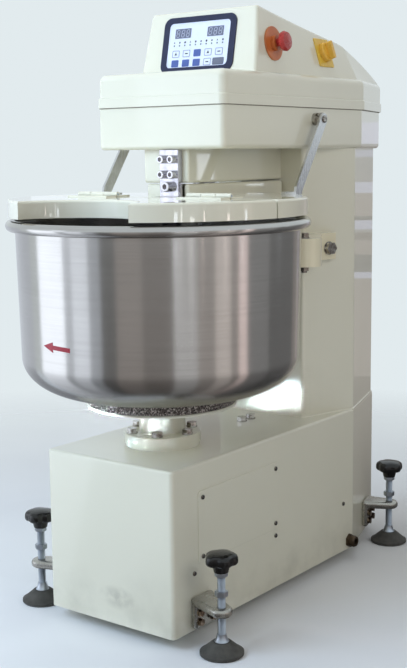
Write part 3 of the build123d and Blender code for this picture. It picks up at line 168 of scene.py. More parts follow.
class Shader:
    """Builds the node tree of one material around a principled surface."""

    def __init__(self, name: str) -> None:
        """Starts a material with its surface and its object coordinates.

        Args:
            name: Name of the material.
        """
        self.material = bpy.data.materials.new(name)
        self.material.use_nodes = True
        self.tree = self.material.node_tree
        self.surface = self.tree.nodes["Principled BSDF"]
        self.place = self.node("ShaderNodeTexCoord").outputs["Object"]

    def node(self, kind: str, inputs: dict | None = None, **settings: object) -> bpy.types.Node:
        """Adds a node.

        Args:
            kind: Blender's name of the node type.
            inputs: Links or plain values, by the name or number of the input that takes each.
            settings: Properties of the node.

        Returns:
            The new node.
        """
        made = self.tree.nodes.new(kind)
        for key, value in settings.items():
            setattr(made, key, value)
        for key, value in (inputs or {}).items():
            self.feed(made.inputs[key], value)
        return made

    def feed(self, target: bpy.types.NodeSocket, source: object) -> None:
        """Gives an input a link or a plain value.

        Args:
            target: Input socket.
            source: Output socket, or the value to set.
        """
        if isinstance(source, bpy.types.NodeSocket):
            self.tree.links.new(source, target)
        else:
            target.default_value = source

    def set(self, **inputs: object) -> None:
        """Sets inputs of the surface, with underscores for spaces in their names."""
        for key, value in inputs.items():
            self.feed(self.surface.inputs[key.replace("_", " ")], value)

    def parts(self, vector: object) -> list[bpy.types.NodeSocket]:
        """The x, y and z of a vector."""
        return list(self.node("ShaderNodeSeparateXYZ", {0: vector}).outputs)

    def joined(self, x: object, y: object, z: object) -> bpy.types.NodeSocket:
        """Vector from three values."""
        return self.node("ShaderNodeCombineXYZ", {0: x, 1: y, 2: z}).outputs[0]

    def mapped(
        self, scale: tuple[float, float, float], shift: tuple[float, float, float] = (0.0, 0.0, 0.0)
    ) -> bpy.types.NodeSocket:
        """Object coordinates scaled by axis, then shifted.

        Args:
            scale: Factor on each axis.
            shift: What is added on each axis.

        Returns:
            The new vector.
        """
        inputs = {"Scale": scale, "Location": shift, "Vector": self.place}
        return self.node("ShaderNodeMapping", inputs).outputs["Vector"]

    def noise(self, scale: float, detail: float = 3.0, place: object = None) -> bpy.types.NodeSocket:
        """Cloudy pattern from 0 to 1.

        Args:
            scale: Patches per metre, or per unit of the given vector.
            detail: Number of finer layers.
            place: Vector to read, object coordinates if None.

        Returns:
            The pattern's value.
        """
        inputs = {"Scale": scale, "Detail": detail, "Vector": place or self.place}
        return self.node("ShaderNodeTexNoise", inputs).outputs["Fac"]

    def spread(self, value: object, low: float, high: float, out_low: float, out_high: float) -> object:
        """Maps a stretch of values onto another, held at its ends.

        Args:
            value: Socket to read.
            low: Value that becomes out_low.
            high: Value that becomes out_high.
            out_low: Result at low.
            out_high: Result at high.

        Returns:
            The mapped value.
        """
        inputs = {"Value": value, "From Min": low, "From Max": high, "To Min": out_low, "To Max": out_high}
        return self.node("ShaderNodeMapRange", inputs).outputs["Result"]

    def math(self, operation: str, first: object, second: object = 0.0) -> bpy.types.NodeSocket:
        """One arithmetic step.

        Args:
            operation: Blender's name of the operation.
            first: First value or socket.
            second: Second value or socket.

        Returns:
            The result.
        """
        return self.node("ShaderNodeMath", {0: first, 1: second}, operation=operation).outputs[0]

    def mixed(self, share: object, first: object, second: object) -> bpy.types.NodeSocket:
        """Blends two colours, through the colour sockets of the mixing node.

        Args:
            share: How much of the second, from 0 to 1.
            first: Colour or socket.
            second: Colour or socket.

        Returns:
            The blended colour.
        """
        first_socket, second_socket, result_socket = 6, 7, 2
        inputs = {"Factor": share, first_socket: first, second_socket: second}
        return self.node("ShaderNodeMix", inputs, data_type="RGBA").outputs[result_socket]

    def relief(self, height: object, depth: float, strength: float = 0.6) -> bpy.types.NodeSocket:
        """Bumps the surface.

        Args:
            height: Pattern from 0 to 1.
            depth: Height of the pattern in metres.
            strength: Share of the effect.

        Returns:
            The bent normal.
        """
        inputs = {"Height": height, "Distance": depth, "Strength": strength}
        return self.node("ShaderNodeBump", inputs).outputs["Normal"]

    def around(self, centre: np.ndarray) -> tuple[object, object, object]:
        """Cylinder coordinates about an upright axis.

        Args:
            centre: Point on the axis.

        Returns:
            Radius, angle and height.
        """
        moved = self.node("ShaderNodeVectorMath", {0: self.place, 1: tuple(centre)}, operation="SUBTRACT")
        x, y, z = self.parts(moved.outputs[0])
        square = self.math("ADD", self.math("MULTIPLY", x, x), self.math("MULTIPLY", y, y))
        return self.math("SQRT", square), self.math("ARCTAN2", y, x), z

    def blob(
        self, centre: tuple[float, float, float], size: tuple[float, float, float], core: float = 0.2
    ) -> bpy.types.NodeSocket:
        """Soft spot: 1 in the core of an ellipsoid, falling to 0 at its face.

        Args:
            centre: Middle of the ellipsoid.
            size: Its half sizes.
            core: Size of the core as a share of the ellipsoid's.

        Returns:
            The falling value.
        """
        scale = tuple(1 / half for half in size)
        shift = tuple(-place / half for place, half in zip(centre, size))
        length = self.node("ShaderNodeVectorMath", {0: self.mapped(scale, shift)}, operation="LENGTH")
        return self.spread(length.outputs["Value"], core, 1.0, 1.0, 0.0)


@dataclass(frozen=True)
class Finish:
    """A surface with two tints that cloud into each other.

    Attributes:
        name: Name of the material.
        tint: Main colour.
        second: Colour of the clouds.
        patches: Clouds per metre.
        share: How strong the clouds are, from 0 to 1.
        rough: Lowest and highest roughness.
        grain: Relief patches per metre.
        depth: Relief depth in metres.
        metal: Metallic share.
        coat: Weight of a clear coat.
        coat_rough: Roughness of the clear coat.
        cloud_span: Values of the pattern at which clouds start and are full.
        wear_patches: Patches of roughness for each patch of colour.
    """

    name: str
    tint: Tint
    second: Tint
    patches: float = 9.0
    share: float = 0.5
    rough: tuple[float, float] = (0.35, 0.5)
    grain: float = 400.0
    depth: float = 0.0001
    metal: float = 0.0
    coat: float = 0.0
    coat_rough: float = 0.03
    cloud_span: tuple[float, float] = (0.35, 0.7)
    wear_patches: float = 2.3

    def build(self) -> bpy.types.Material:
        """Builds the material: clouded colour, uneven roughness, grain and an optional coat.

        Returns:
            The material.
        """
        shader = Shader(self.name)
        clouds = shader.noise(self.patches, detail=5.0)
        wear = shader.noise(self.patches * self.wear_patches, detail=4.0)
        share = shader.spread(clouds, *self.cloud_span, 0.0, self.share)
        self.paint(shader, shader.mixed(share, self.tint.linear, self.second.linear))
        shader.set(Metallic=self.metal, Coat_Weight=self.coat, Coat_Roughness=self.coat_rough)
        shader.set(Roughness=shader.spread(wear, *NOISE_SPAN, *self.rough))
        shader.set(Normal=shader.relief(shader.noise(self.grain, detail=2.0), self.depth))
        self.extra(shader)
        return shader.material

    def paint(self, shader: Shader, colour: bpy.types.NodeSocket) -> None:
        """Puts the clouded colour on the surface."""
        shader.set(Base_Color=colour)

    def extra(self, shader: Shader) -> None:
        """Adds what one kind of finish needs beyond the clouds and the grain."""


@dataclass(frozen=True)
class GlossPaint(Finish):
    """Sprayed gloss enamel with faint orange peel, greyer near the floor.

    Attributes:
        grime: Heights in metres at which grime is full and gone.
        grime_patches: Patches of grime per metre.
        grime_span: Values of the pattern at which grime starts and is full.
        grime_share: How strong the grime is, from 0 to 1.
        dark_spot: Middle of a darker, patchy spot on the base's front.
        dark_spot_size: Half sizes of the spot.
        dark_spot_patches: Patches in the spot per metre.
        dark_spot_span: Values of the pattern at which the spot's darkening starts and is full.
        dark_spot_share: Least and greatest strength of the spot.
    """

    grime: tuple[float, float] = (0.02, 0.16)
    grime_patches: float = 14.0
    grime_span: tuple[float, float] = (0.45, 0.75)
    grime_share: float = 0.3
    dark_spot: tuple[float, float, float] = (0.022, -0.382, 0.078)
    dark_spot_size: tuple[float, float, float] = (0.055, 0.03, 0.026)
    dark_spot_patches: float = 48.0
    dark_spot_span: tuple[float, float] = (0.35, 0.65)
    dark_spot_share: tuple[float, float] = (0.05, 0.5)

    def paint(self, shader: Shader, colour: bpy.types.NodeSocket) -> None:
        """Adds a thin film of grime that fades with height and breaks up in patches, and a darker spot on the
        base's front.

        Args:
            shader: Shader of the material.
            colour: The clouded colour.
        """
        height = shader.parts(shader.place)[2]
        low = shader.spread(height, *self.grime, 1.0, 0.0)
        patches = shader.noise(self.grime_patches, detail=6.0)
        patchy = shader.spread(patches, *self.grime_span, 0.0, self.grime_share)
        # A darker, patchy spot on the base's front.
        spot_pattern = shader.noise(self.dark_spot_patches, detail=5.0)
        spot_share = shader.spread(spot_pattern, *self.dark_spot_span, *self.dark_spot_share)
        spot_share = shader.math("MULTIPLY", spot_share, shader.blob(self.dark_spot, self.dark_spot_size))
        darkening = shader.math("MAXIMUM", shader.math("MULTIPLY", low, patchy), spot_share)
        shader.set(Base_Color=shader.mixed(darkening, colour, Tint.IVORY_DARKENED.linear))


@dataclass(frozen=True)
class SpunSteel(Finish):
    """Steel turned on a lathe: fine rings round an axis that draw reflections out along it.

    Attributes:
        rings: Relief rings per metre of height or radius.
        tint_rings: Tinted rings per metre.
        tint_span: Values of the pattern at which tinted rings start and are full.
        tint_share: How strong the tinted rings are, from 0 to 1.
        bands: Bands of even roughness per metre.
        drift: How fast relief and tinted rings change round the axis, per radian.
        drawn: How far reflections are drawn out, from 0 to 1.
        drawn_turn: Turn of the drawn-out reflections, in full turns.
        painted_shade: Heights between which painted shade darkens the steel downwards.
        painted_shade_share: How strong the painted shade is at the lower height, from 0 to 1.
    """

    rings: float = 900.0
    tint_rings: float = 360.0
    tint_span: tuple[float, float] = (0.4, 0.7)
    tint_share: float = 0.2
    bands: float = 25.0
    drift: tuple[float, float] = (0.004, 0.003)
    drawn: float = 0.8
    drawn_turn: float = 0.25
    painted_shade: tuple[float, float] = (0.472, 0.515)
    painted_shade_share: float = 0.8

    def lathe(self, shader: Shader, drift: float) -> bpy.types.NodeSocket:
        """Coordinates in which rings round the axis are straight.

        Args:
            shader: Shader of the material.
            drift: How fast the rings change round the axis, per radian.

        Returns:
            Vector of radius, height and a little of the angle.
        """
        radius, angle, height = shader.around(BOWL_AXIS)
        return shader.joined(radius, height, shader.math("MULTIPLY", angle, drift))

    def paint(self, shader: Shader, colour: bpy.types.NodeSocket) -> None:
        """Adds faint rings, and painted shade low on the corner.

        Args:
            shader: Shader of the material.
            colour: The clouded colour.
        """
        pattern = shader.noise(self.tint_rings, place=self.lathe(shader, self.drift[1]))
        rings = shader.spread(pattern, *self.tint_span, 0.0, self.tint_share)
        colour = shader.mixed(rings, colour, Tint.STEEL_DARK.linear)
        # Painted shade: the steel's colour darkens low on the bowl's corner.
        low = shader.spread(shader.parts(shader.place)[2], *self.painted_shade, self.painted_shade_share, 0.0)
        shader.set(Base_Color=shader.mixed(low, colour, Tint.STEEL_PAINTED_SHADE.linear))

    def extra(self, shader: Shader) -> None:
        """Adds the rings as relief and the direction of the brushing.

        Args:
            shader: Shader of the material.
        """
        place = self.lathe(shader, self.drift[0])
        bands = shader.noise(self.bands, detail=2.0, place=place)
        shader.set(Roughness=shader.spread(bands, *NOISE_SPAN, *self.rough))
        shader.set(Normal=shader.relief(shader.noise(self.rings, place=place), self.depth, strength=0.5))
        tangent = shader.node("ShaderNodeTangent", direction_type="RADIAL", axis="Z").outputs[0]
        shader.set(Tangent=tangent, Anisotropic=self.drawn, Anisotropic_Rotation=self.drawn_turn)


@dataclass(frozen=True)
class BrushedSteel(Finish):
    """Rolled steel with straight brush lines.

    Attributes:
        along: Stretch on each axis: the small one is the brushing's direction.
    """

    along: tuple[float, float, float] = (1.0, 1.0, 0.03)

    def extra(self, shader: Shader) -> None:
        """Replaces the grain with stretched lines.

        Args:
            shader: Shader of the material.
        """
        lines = shader.noise(self.grain, place=shader.mapped(self.along))
        shader.set(Normal=shader.relief(lines, self.depth))
        shader.set(Roughness=shader.spread(lines, *NOISE_SPAN, *self.rough))


@dataclass(frozen=True)
class BoltSteel(Finish):
    """Bright bolt steel that turns brown near the floor.

    Attributes:
        brown: Heights in metres up to which the bolts are brown, and from which they are bright.
        spots: Spots of lighter brown per metre.
        spot_span: Values of the pattern at which spots start and are full.
    """

    brown: tuple[float, float] = (0.12, 0.15)
    spots: float = 160.0
    spot_span: tuple[float, float] = (0.4, 0.65)

    def paint(self, shader: Shader, colour: bpy.types.NodeSocket) -> None:
        """Blends the bright colour into a mottled brown below a height.

        Args:
            shader: Shader of the material.
            colour: The clouded colour.
        """
        low = shader.spread(shader.parts(shader.place)[2], *self.brown, 1.0, 0.0)
        spots = shader.spread(shader.noise(self.spots, detail=4.0), *self.spot_span, 0.0, 1.0)
        brown = shader.mixed(spots, Tint.BOLT_DARK.linear, Tint.BOLT_BROWN.linear)
        shader.set(Base_Color=shader.mixed(low, colour, brown))


@dataclass(frozen=True)
class PittedSteel(Finish):
    """Rough dark steel with pits and bright scuffs.

    Attributes:
        pits: Distances from a pit's middle at which it is deepest and ends, as shares of a cell.
        specks: Values of the pattern at which bare metal starts and is full.
        speck_grain: Specks for each pit.
    """

    pits: tuple[float, float] = (0.1, 0.45)
    specks: tuple[float, float] = (0.48, 0.64)
    speck_grain: float = 1.7

    def extra(self, shader: Shader) -> None:
        """Adds cells for the pits and speckles of bare metal.

        Args:
            shader: Shader of the material.
        """
        inputs = {"Scale": self.grain, "Vector": shader.place}
        cells = shader.node("ShaderNodeTexVoronoi", inputs, feature="F1")
        pits = shader.spread(cells.outputs["Distance"], *self.pits, 0.0, 1.0)
        pattern = shader.noise(self.grain * self.speck_grain, detail=4.0)
        specks = shader.spread(pattern, *self.specks, 0.0, 1.0)
        colour = shader.mixed(specks, self.tint.linear, self.second.linear)
        shader.set(Base_Color=shader.mixed(pits, Tint.BLACK.linear, colour))
        shader.set(Normal=shader.relief(pits, self.depth, strength=0.9))


IVORY = GlossPaint(
    "ivory_gloss", Tint.IVORY, Tint.IVORY_SHADE, 3.0, 0.3, (0.28, 0.36), 240.0, 0.00008, coat=1.0
)
FINISHES: dict[str, Finish] = {
    "ivory_paint": IVORY,
    "stainless": BrushedSteel(
        "brushed_steel", Tint.BRACKET_STEEL, Tint.STEEL, 12.0, 0.5, (0.2, 0.3), 700.0, 0.00004, 1.0
    ),
    "zinc": Finish("bright_zinc", Tint.ZINC, Tint.ZINC_DULL, 25.0, 0.6, (0.3, 0.4), 900.0, 0.00003, 1.0),
    "bearing_steel": Finish(
        "ground_steel", Tint.GROUND_STEEL, Tint.STEEL_DARK, 40.0, 0.4, (0.14, 0.24), 1500.0, 0.00002, 1.0
    ),
    "ring_steel": PittedSteel(
        "pitted_ring", Tint.PITTED, Tint.PITTED_LIGHT, 30.0, 0.6, (0.5, 0.75), 190.0, 0.0012, 0.5
    ),
    "cast_grey": Finish(
        "cast_grey", Tint.CAST, Tint.CAST_DARK, 30.0, 0.6, (0.2, 0.32), 420.0, 0.00012, 0.9
    ),
    "motor_grey": Finish(
        "motor_paint", Tint.MOTOR, Tint.MOTOR_DARK, 25.0, 0.6, (0.35, 0.5), 500.0, 0.0001
    ),
    "belt_rubber": Finish("belt_rubber", Tint.BLACK, Tint.RUBBER, 90.0, 0.5, (0.6, 0.8), 800.0, 0.0002),
    "roller_nylon": Finish(
        "roller_nylon", Tint.NYLON, Tint.NYLON_SHADE, 40.0, 0.6, (0.3, 0.45), 600.0, 0.00006
    ),
    "knob_black": Finish(
        "knob_black", Tint.BLACK, Tint.BLACK_WORN, 70.0, 0.5, (0.12, 0.2), 700.0, 0.00003
    ),
    "pad_rubber": Finish(
        "pad_rubber", Tint.RUBBER, Tint.RUBBER_DUST, 50.0, 0.7, (0.65, 0.85), 650.0, 0.0003
    ),
    "gland_black": Finish(
        "gland_dark", Tint.GLAND, Tint.GLAND_DARK, 90.0, 0.6, (0.3, 0.42), 800.0, 0.0001, 0.7
    ),
    "panel_navy": Finish("panel_navy", Tint.NAVY, Tint.NAVY_DARK, 60.0, 0.6, (0.28, 0.42), 900.0, 0.00004),
    "panel_face": Finish("panel_film", Tint.FILM, Tint.FILM_SHADE, 24.0, 0.5, (0.32, 0.42), 1600.0, 0.00002),
    "signal_yellow": Finish(
        "isolator_yellow", Tint.YELLOW, Tint.YELLOW_DARK, 60.0, 0.6, (0.25, 0.4), 700.0, 0.00005
    ),
    "signal_red": Finish("button_red", Tint.RED, Tint.RED_DARK, 60.0, 0.6, (0.2, 0.32), 700.0, 0.00004),
}
SPUN_BOWL = SpunSteel("spun_bowl", Tint.STEEL, Tint.STEEL_DARK, 7.0, 0.3, (0.19, 0.23), 900.0, 0.00001, 1.0)
STOP_AMBER = Finish("stop_amber", Tint.AMBER, Tint.AMBER_DARK, 60.0, 0.6, (0.28, 0.42), 700.0, 0.00005)
KNOB_ORANGE = Finish("isolator_orange", Tint.ORANGE, Tint.YELLOW_DARK, 60.0, 0.6, (0.25, 0.4), 700.0, 0.00005)
DECAL_RED = Finish("decal_red", Tint.DECAL_RED, Tint.DECAL_RED_DARK, 50.0, 0.5, (0.3, 0.42), 900.0, 0.00002)
WINDOW_GREY = Finish("window_grey", Tint.WINDOW, Tint.WINDOW_DARK, 80.0, 0.6, (0.12, 0.2), 900.0, 0.00001)
DIGIT_GREY = Finish("digit_grey", Tint.DIGIT, Tint.WINDOW, 160.0, 0.3, (0.25, 0.35), 900.0, 0.00001)
KEY_BLUE = Finish("key_blue", Tint.KEY_BLUE, Tint.KEY_BLUE_DARK, 90.0, 0.6, (0.3, 0.42), 1600.0, 0.00002)
KEY_GREY = Finish("key_grey", Tint.KEY_GREY, Tint.KEY_GREY_DARK, 90.0, 0.6, (0.3, 0.42), 1600.0, 0.00002)
KEY_LINE = Finish("key_line", Tint.KEY_LINE, Tint.KEY_GREY, 120.0, 0.4, (0.32, 0.45), 1600.0, 0.00002)
# Ink of the panel's marks, also used as painted shade in the screws' slots.
INK_AND_PAINTED_SHADE = Finish("ink_and_painted_shade", Tint.MARK_AND_PAINTED_SHADE, Tint.BLACK_WORN, 120.0, 0.5, (0.35, 0.5), 1600.0, 0.00002)
LAMP_LENS = Finish("lamp_lens", Tint.LAMP, Tint.WINDOW_DARK, 200.0, 0.5, (0.12, 0.22), 1600.0, 0.00002)
# Seal grey, darker than the paint: a seal that also paints the shade under the lip of the cover.
SEAL_AND_SHADE_GREY = Finish("seal_and_painted_shade", Tint.SEAL_AND_PAINTED_SHADE, Tint.SEAL_SHADE, 60.0, 0.5, (0.55, 0.7), 900.0, 0.0001)
BOLT_STEEL = BoltSteel(
    "bolt_steel", Tint.CHROME, Tint.BOLT_DARK, 150.0, 0.9, (0.07, 0.16), 900.0, 0.00002, 1.0
)
# Painted light: the roller arms' ivory is lighter and yellower than the column's, standing in for the light
# they catch.
PAINTED_LIGHT_IVORY = GlossPaint(
    "painted_light_ivory", Tint.IVORY_PAINTED_LIGHT, Tint.IVORY_PAINTED_LIGHT_CLOUD, 9.0, 0.5, (0.28, 0.36), 240.0, 0.00008, coat=1.0
)
MIRROR_STEEL = Finish(
    "mirror_steel", Tint.MIRROR, Tint.MIRROR_DARK, 60.0, 0.6, (0.05, 0.12), 300.0, 0.00005, 1.0
)
SCREW_CHROME = Finish("screw_chrome", Tint.MIRROR, Tint.CHROME, 90.0, 0.5, (0.06, 0.14), 900.0, 0.00002, 1.0)
SCREW_WORN = Finish(
    "screw_worn", Tint.CHROME_DARK, Tint.BOLT_DARK, 220.0, 0.6, (0.12, 0.24), 900.0, 0.00002, 1.0
)
BRASS_DULL = Finish("brass_dull", Tint.BRASS, Tint.GLAND, 120.0, 0.6, (0.3, 0.45), 900.0, 0.00005, 1.0)


@cache
def material_of(finish: Finish) -> bpy.types.Material:
    """The material of a finish, built once."""
    return finish.build()


def linked(name: str, data: bpy.types.ID) -> bpy.types.Object:
    """Makes an object and links it into the scene.

    Args:
        name: Name of the object.
        data: Its mesh, light or camera.

    Returns:
        The new object.
    """
    made = bpy.data.objects.new(name, data)
    bpy.context.scene.collection.objects.link(made)
    return made


class Surface:
    """Collects grids of points into one mesh and makes a piece of it.

    Attributes:
        merge: Distance in metres within which points become one.
        shortest: Length in metres below which an edge is taken out.
        sharp: Angle in degrees from which an edge between two faces stays sharp.
    """

    merge: float = 1e-6
    shortest: float = 1e-7
    sharp: float = 32.0

    def __init__(self) -> None:
        """Starts with nothing."""
        self.points: list[np.ndarray] = []
        self.faces: list[np.ndarray] = []
        self.count = 0

    def grid(self, points: np.ndarray, wrap: bool = True) -> Surface:
        """Adds a grid surface: four points of neighbouring rows and columns make each face.

        Args:
            points: Array of rows by columns by 3.
            wrap: Whether the last column meets the first.

        Returns:
            This surface, to go on adding.
        """
        rows, columns = points.shape[:2]
        across = np.arange(columns if wrap else columns - 1)
        a, b = np.meshgrid(np.arange(rows - 1), across, indexing="ij")
        after = (b + 1) % columns
        corners = [a * columns + b, a * columns + after, (a + 1) * columns + after, (a + 1) * columns + b]
        self.faces.append(np.stack(corners, -1).reshape(-1, 4) + self.count)
        self.points.append(points.reshape(-1, 3))
        self.count += rows * columns
        return self

    def placed(self, name: str, material: bpy.types.Material) -> bpy.types.Object:
        """Makes an object of the grids as they are.

        Args:
            name: Name of the object.
            material: Its material.

        Returns:
            The new object.
        """
        mesh = bpy.data.meshes.new(name)
        mesh.from_pydata(np.concatenate(self.points).tolist(), [], np.concatenate(self.faces).tolist())
        mesh.materials.append(material)
        return linked(name, mesh)

    def piece(self, name: str, finish: Finish, body: str, slot: str) -> bpy.types.Object:
        """Makes the object: merges poles and seams, turns faces outwards and rides it on a body.

        Args:
            name: Name of the piece.
            finish: Its finish.
            body: Body that it moves with.
            slot: Material slot of the record that it belongs to; not used.

        Returns:
            The new object.
        """
        made = self.placed(name, material_of(finish))
        mesh = made.data
        work = bmesh.new()
        work.from_mesh(mesh)
        bmesh.ops.remove_doubles(work, verts=work.verts, dist=self.merge)
        bmesh.ops.dissolve_degenerate(work, edges=work.edges, dist=self.shortest)
        bmesh.ops.recalc_face_normals(work, faces=work.faces)
        work.to_mesh(mesh)
        work.free()
        mesh.shade_smooth()
        mesh.set_sharp_from_angle(angle=math.radians(self.sharp))
        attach(made, body)
        LOG.info("%s: %d points, rides on %s", name, len(mesh.vertices), body)
        return made


def mm(*sizes: float) -> tuple[float, ...]:
    """Millimetres as metres."""
    return tuple(size * MM for size in sizes)


def full_turn(points: int) -> np.ndarray:
    """Even angles round a full turn, without its end."""
    return np.linspace(0, 2 * np.pi, points, endpoint=False)


def aims(angle: np.ndarray) -> np.ndarray:
    """Unit vectors at angles: the cosine and the sine of each."""
    return np.stack([np.cos(angle), np.sin(angle)], -1)


def filled(rows: np.ndarray, parts: int) -> np.ndarray:
    """Rows with others put between them: each stretch from one row to the next is cut into equal parts.

    Args:
        rows: Rows of numbers.
        parts: Parts of each stretch.

    Returns:
        The longer array.
    """
    last = len(rows) - 1
    run = np.linspace(0, last, parts * last + 1)
    return np.stack([np.interp(run, np.arange(last + 1), column) for column in rows.T], -1)


@dataclass(frozen=True)
class Place:
    """A spot with its own axes, level if none are given.

    Attributes:
        origin: The spot.
        x_axis: Direction of local x.
        y_axis: Direction of local y.
    """

    origin: tuple[float, float, float]
    x_axis: tuple[float, float, float] = (1.0, 0.0, 0.0)
    y_axis: tuple[float, float, float] = (0.0, 1.0, 0.0)

    def at(self, x: np.ndarray, y: np.ndarray, z: np.ndarray) -> np.ndarray:
        """Local arrays as points of the machine's frame.

        Args:
            x: Local x values.
            y: Local y values.
            z: Local heights.

        Returns:
            Array of points, one axis longer than the inputs.
        """
        axes = np.array([self.x_axis, self.y_axis])
        normal = np.cross(axes[0], axes[1])
        x, y, z = np.broadcast_arrays(x, y, z)
        return np.array(self.origin) + x[..., None] * axes[0] + y[..., None] * axes[1] + z[..., None] * normal

    def polar(self, radius: np.ndarray, angle: np.ndarray, height: np.ndarray) -> np.ndarray:
        """Points at radii and angles round the local z axis, at local heights."""
        return self.at(radius * np.cos(angle), radius * np.sin(angle), height)

    def moved(self, x: float, y: float, z: float = 0.0) -> Place:
        """The same axes at a local point."""
        spot = self.at(np.array(x), np.array(y), np.array(z))
        return Place(tuple(spot.tolist()), self.x_axis, self.y_axis)


def turned(place: Place, profile: np.ndarray, around: int = 48) -> np.ndarray:
    """Surface of revolution: a profile of radius and height carried round the local z axis.

    Args:
        place: Where the axis stands.
        profile: Array of (radius, height) rows.
        around: Points round the axis.

    Returns:
        Grid of points.
    """
    return place.polar(profile[:, :1], full_turn(around), profile[:, 1:])


@dataclass(frozen=True)
class WallPlace(Place):
    """A spot on a round wall that leans: local x runs round it, y up it and z out of it.

    Attributes:
        radius: Radius of the wall at the spot.
        slope: Growth of the radius with height.
        turn: Direction of the spot from +X, in radians.
    """

    radius: float = 1.0
    slope: float = 0.0
    turn: float = 0.0

    def at(self, x: np.ndarray, y: np.ndarray, z: np.ndarray) -> np.ndarray:
        """Local arrays as points of the machine's frame: the angle is x over the radius.

        Args:
            x: Distances round the wall.
            y: Heights above the spot.
            z: Distances out of the wall.

        Returns:
            Array of points, one axis longer than the inputs.
        """
        x, y, z = np.broadcast_arrays(x, y, z)
        angle = self.turn + x / self.radius
        reach = self.radius + self.slope * y + z
        return np.array(self.origin) + np.stack([reach * np.cos(angle), reach * np.sin(angle), y], -1)


def slab(
    place: Place,
    outline: np.ndarray,
    low: float,
    high: float,
    edge: float,
    middle: np.ndarray | None = None,
    steps: int = 1,
) -> np.ndarray:
    """Closed flat piece: its outline at the foot, at the rim, drawn in at the top, then to the middle.

    Args:
        place: Where it lies.
        outline: Array of (x, y) rows.
        low: Height of the foot.
        high: Height of the top.
        edge: Width of the rounded rim.
        middle: Point from which all of the outline can be seen, its mean if None.
        steps: Rings between the middle and the rim of each face.

    Returns:
        Grid of points.
    """
    middle = outline.mean(0) if middle is None else middle
    size = np.linalg.norm(outline - middle, axis=1).mean()
    share = np.linspace(0.0, 1.0, steps + 1)
    drawn = np.concatenate([share, [1.0], share[::-1] * (1 - edge / size)])
    height = np.concatenate([np.full(steps + 1, low), [high - edge], np.full(steps + 1, high)])
    spots = middle + drawn[:, None, None] * (outline - middle)
    return place.at(spots[..., 0], spots[..., 1], height[:, None])


def rounded_box(width: float, height: float, corner: float, steps: int = 6) -> np.ndarray:
    """Outline of a rectangle with round corners: four quarter circles joined by straight sides.

    Args:
        width: Size along x.
        height: Size along y.
        corner: Radius of the corners.
        steps: Points on each corner.

    Returns:
        Array of (x, y) rows.
    """
    turn = np.linspace(0, np.pi / 2, steps)
    start = np.arange(4)[:, None] * np.pi / 2
    signs = np.array([(1, 1), (-1, 1), (-1, -1), (1, -1)])
    centres = signs * (np.array([width, height]) / 2 - corner)
    x = centres[:, :1] + corner * np.cos(start + turn)
    y = centres[:, 1:] + corner * np.sin(start + turn)
    return np.stack([x.ravel(), y.ravel()], -1)


def frame_of(outline: np.ndarray, width: float) -> np.ndarray:
    """The inner edge of a line drawn along an outline: each point drawn towards the middle.

    Args:
        outline: Array of (x, y) rows.
        width: Width of the line.

    Returns:
        The inner outline.
    """
    middle = outline.mean(0)
    half = np.abs(outline - middle).max(0)
    return middle + (outline - middle) * (1 - width / half)


def ring(place: Place, outer: np.ndarray, inner: np.ndarray, low: float, high: float) -> np.ndarray:
    """Raised line between two outlines, closed along its length: outer wall, top and inner wall.

    Args:
        place: Where it lies.
        outer: Outer outline.
        inner: Inner outline with as many points.
        low: Height of the foot.
        high: Height of the top.

    Returns:
        Grid of points.
    """
    spots = np.stack([outer, outer, inner, inner, outer])
    heights = np.array([low, high, high, low, low])[:, None]
    return place.at(spots[..., 0], spots[..., 1], heights)


def swept(path: np.ndarray, outward: np.ndarray, section: np.ndarray) -> np.ndarray:
    """A section carried along a closed level path: x goes outwards, y goes up.

    Args:
        path: Points along the path.
        outward: Level unit vectors square to the path, one for each point.
        section: Closed outline of (out, up) rows, or one such outline for each point.

    Returns:
        Grid of points, columns along the path.
    """
    up = np.array([0.0, 0.0, 1.0])
    section = section if section.ndim == 3 else np.repeat(section[:, None], len(path), 1)
    return path + section[..., :1] * outward + section[..., 1:] * up


def walked(
    corners: np.ndarray, radius: float, step: float, arc_points: int = 9
) -> tuple[np.ndarray, np.ndarray]:
    """Points along a closed plan whose corners are rounded, evenly spaced, with outward directions.

    Args:
        corners: Array of (x, y) rows, counter-clockwise.
        radius: Radius of the corners.
        step: Distance between points.
        arc_points: Points on each corner before they are spaced evenly.

    Returns:
        Points at height zero and level unit vectors that point out of the plan.
    """
    before, after = np.roll(corners, 1, 0), np.roll(corners, -1, 0)
    enter = (corners - before) / np.linalg.norm(corners - before, axis=1)[:, None]
    leave = (after - corners) / np.linalg.norm(after - corners, axis=1)[:, None]
    bend = np.arccos(np.clip((enter * leave).sum(1), -1, 1))
    cut = radius * np.tan(bend / 2)
    normal = np.stack([enter[:, 1], -enter[:, 0]], -1)
    centre = corners - enter * cut[:, None] - normal * radius
    start = np.arctan2(normal[:, 1], normal[:, 0])
    turn = np.linspace(0, 1, arc_points)[None] * bend[:, None] + start[:, None]
    loop = (centre[:, None] + radius * aims(turn)).reshape(-1, 2)
    loop = np.concatenate([loop, loop[:1]])
    run = np.concatenate([[0.0], np.cumsum(np.linalg.norm(np.diff(loop, axis=0), axis=1))])
    want = np.linspace(0, run[-1], round(run[-1] / step), endpoint=False)
    spots = np.stack([np.interp(want, run, loop[:, 0]), np.interp(want, run, loop[:, 1])], -1)
    ahead = np.roll(spots, -1, 0) - np.roll(spots, 1, 0)
    ahead /= np.linalg.norm(ahead, axis=1)[:, None]
    flat = np.zeros((len(spots), 1))
    return np.hstack([spots, flat]), np.hstack([ahead[:, 1:], -ahead[:, :1], flat])


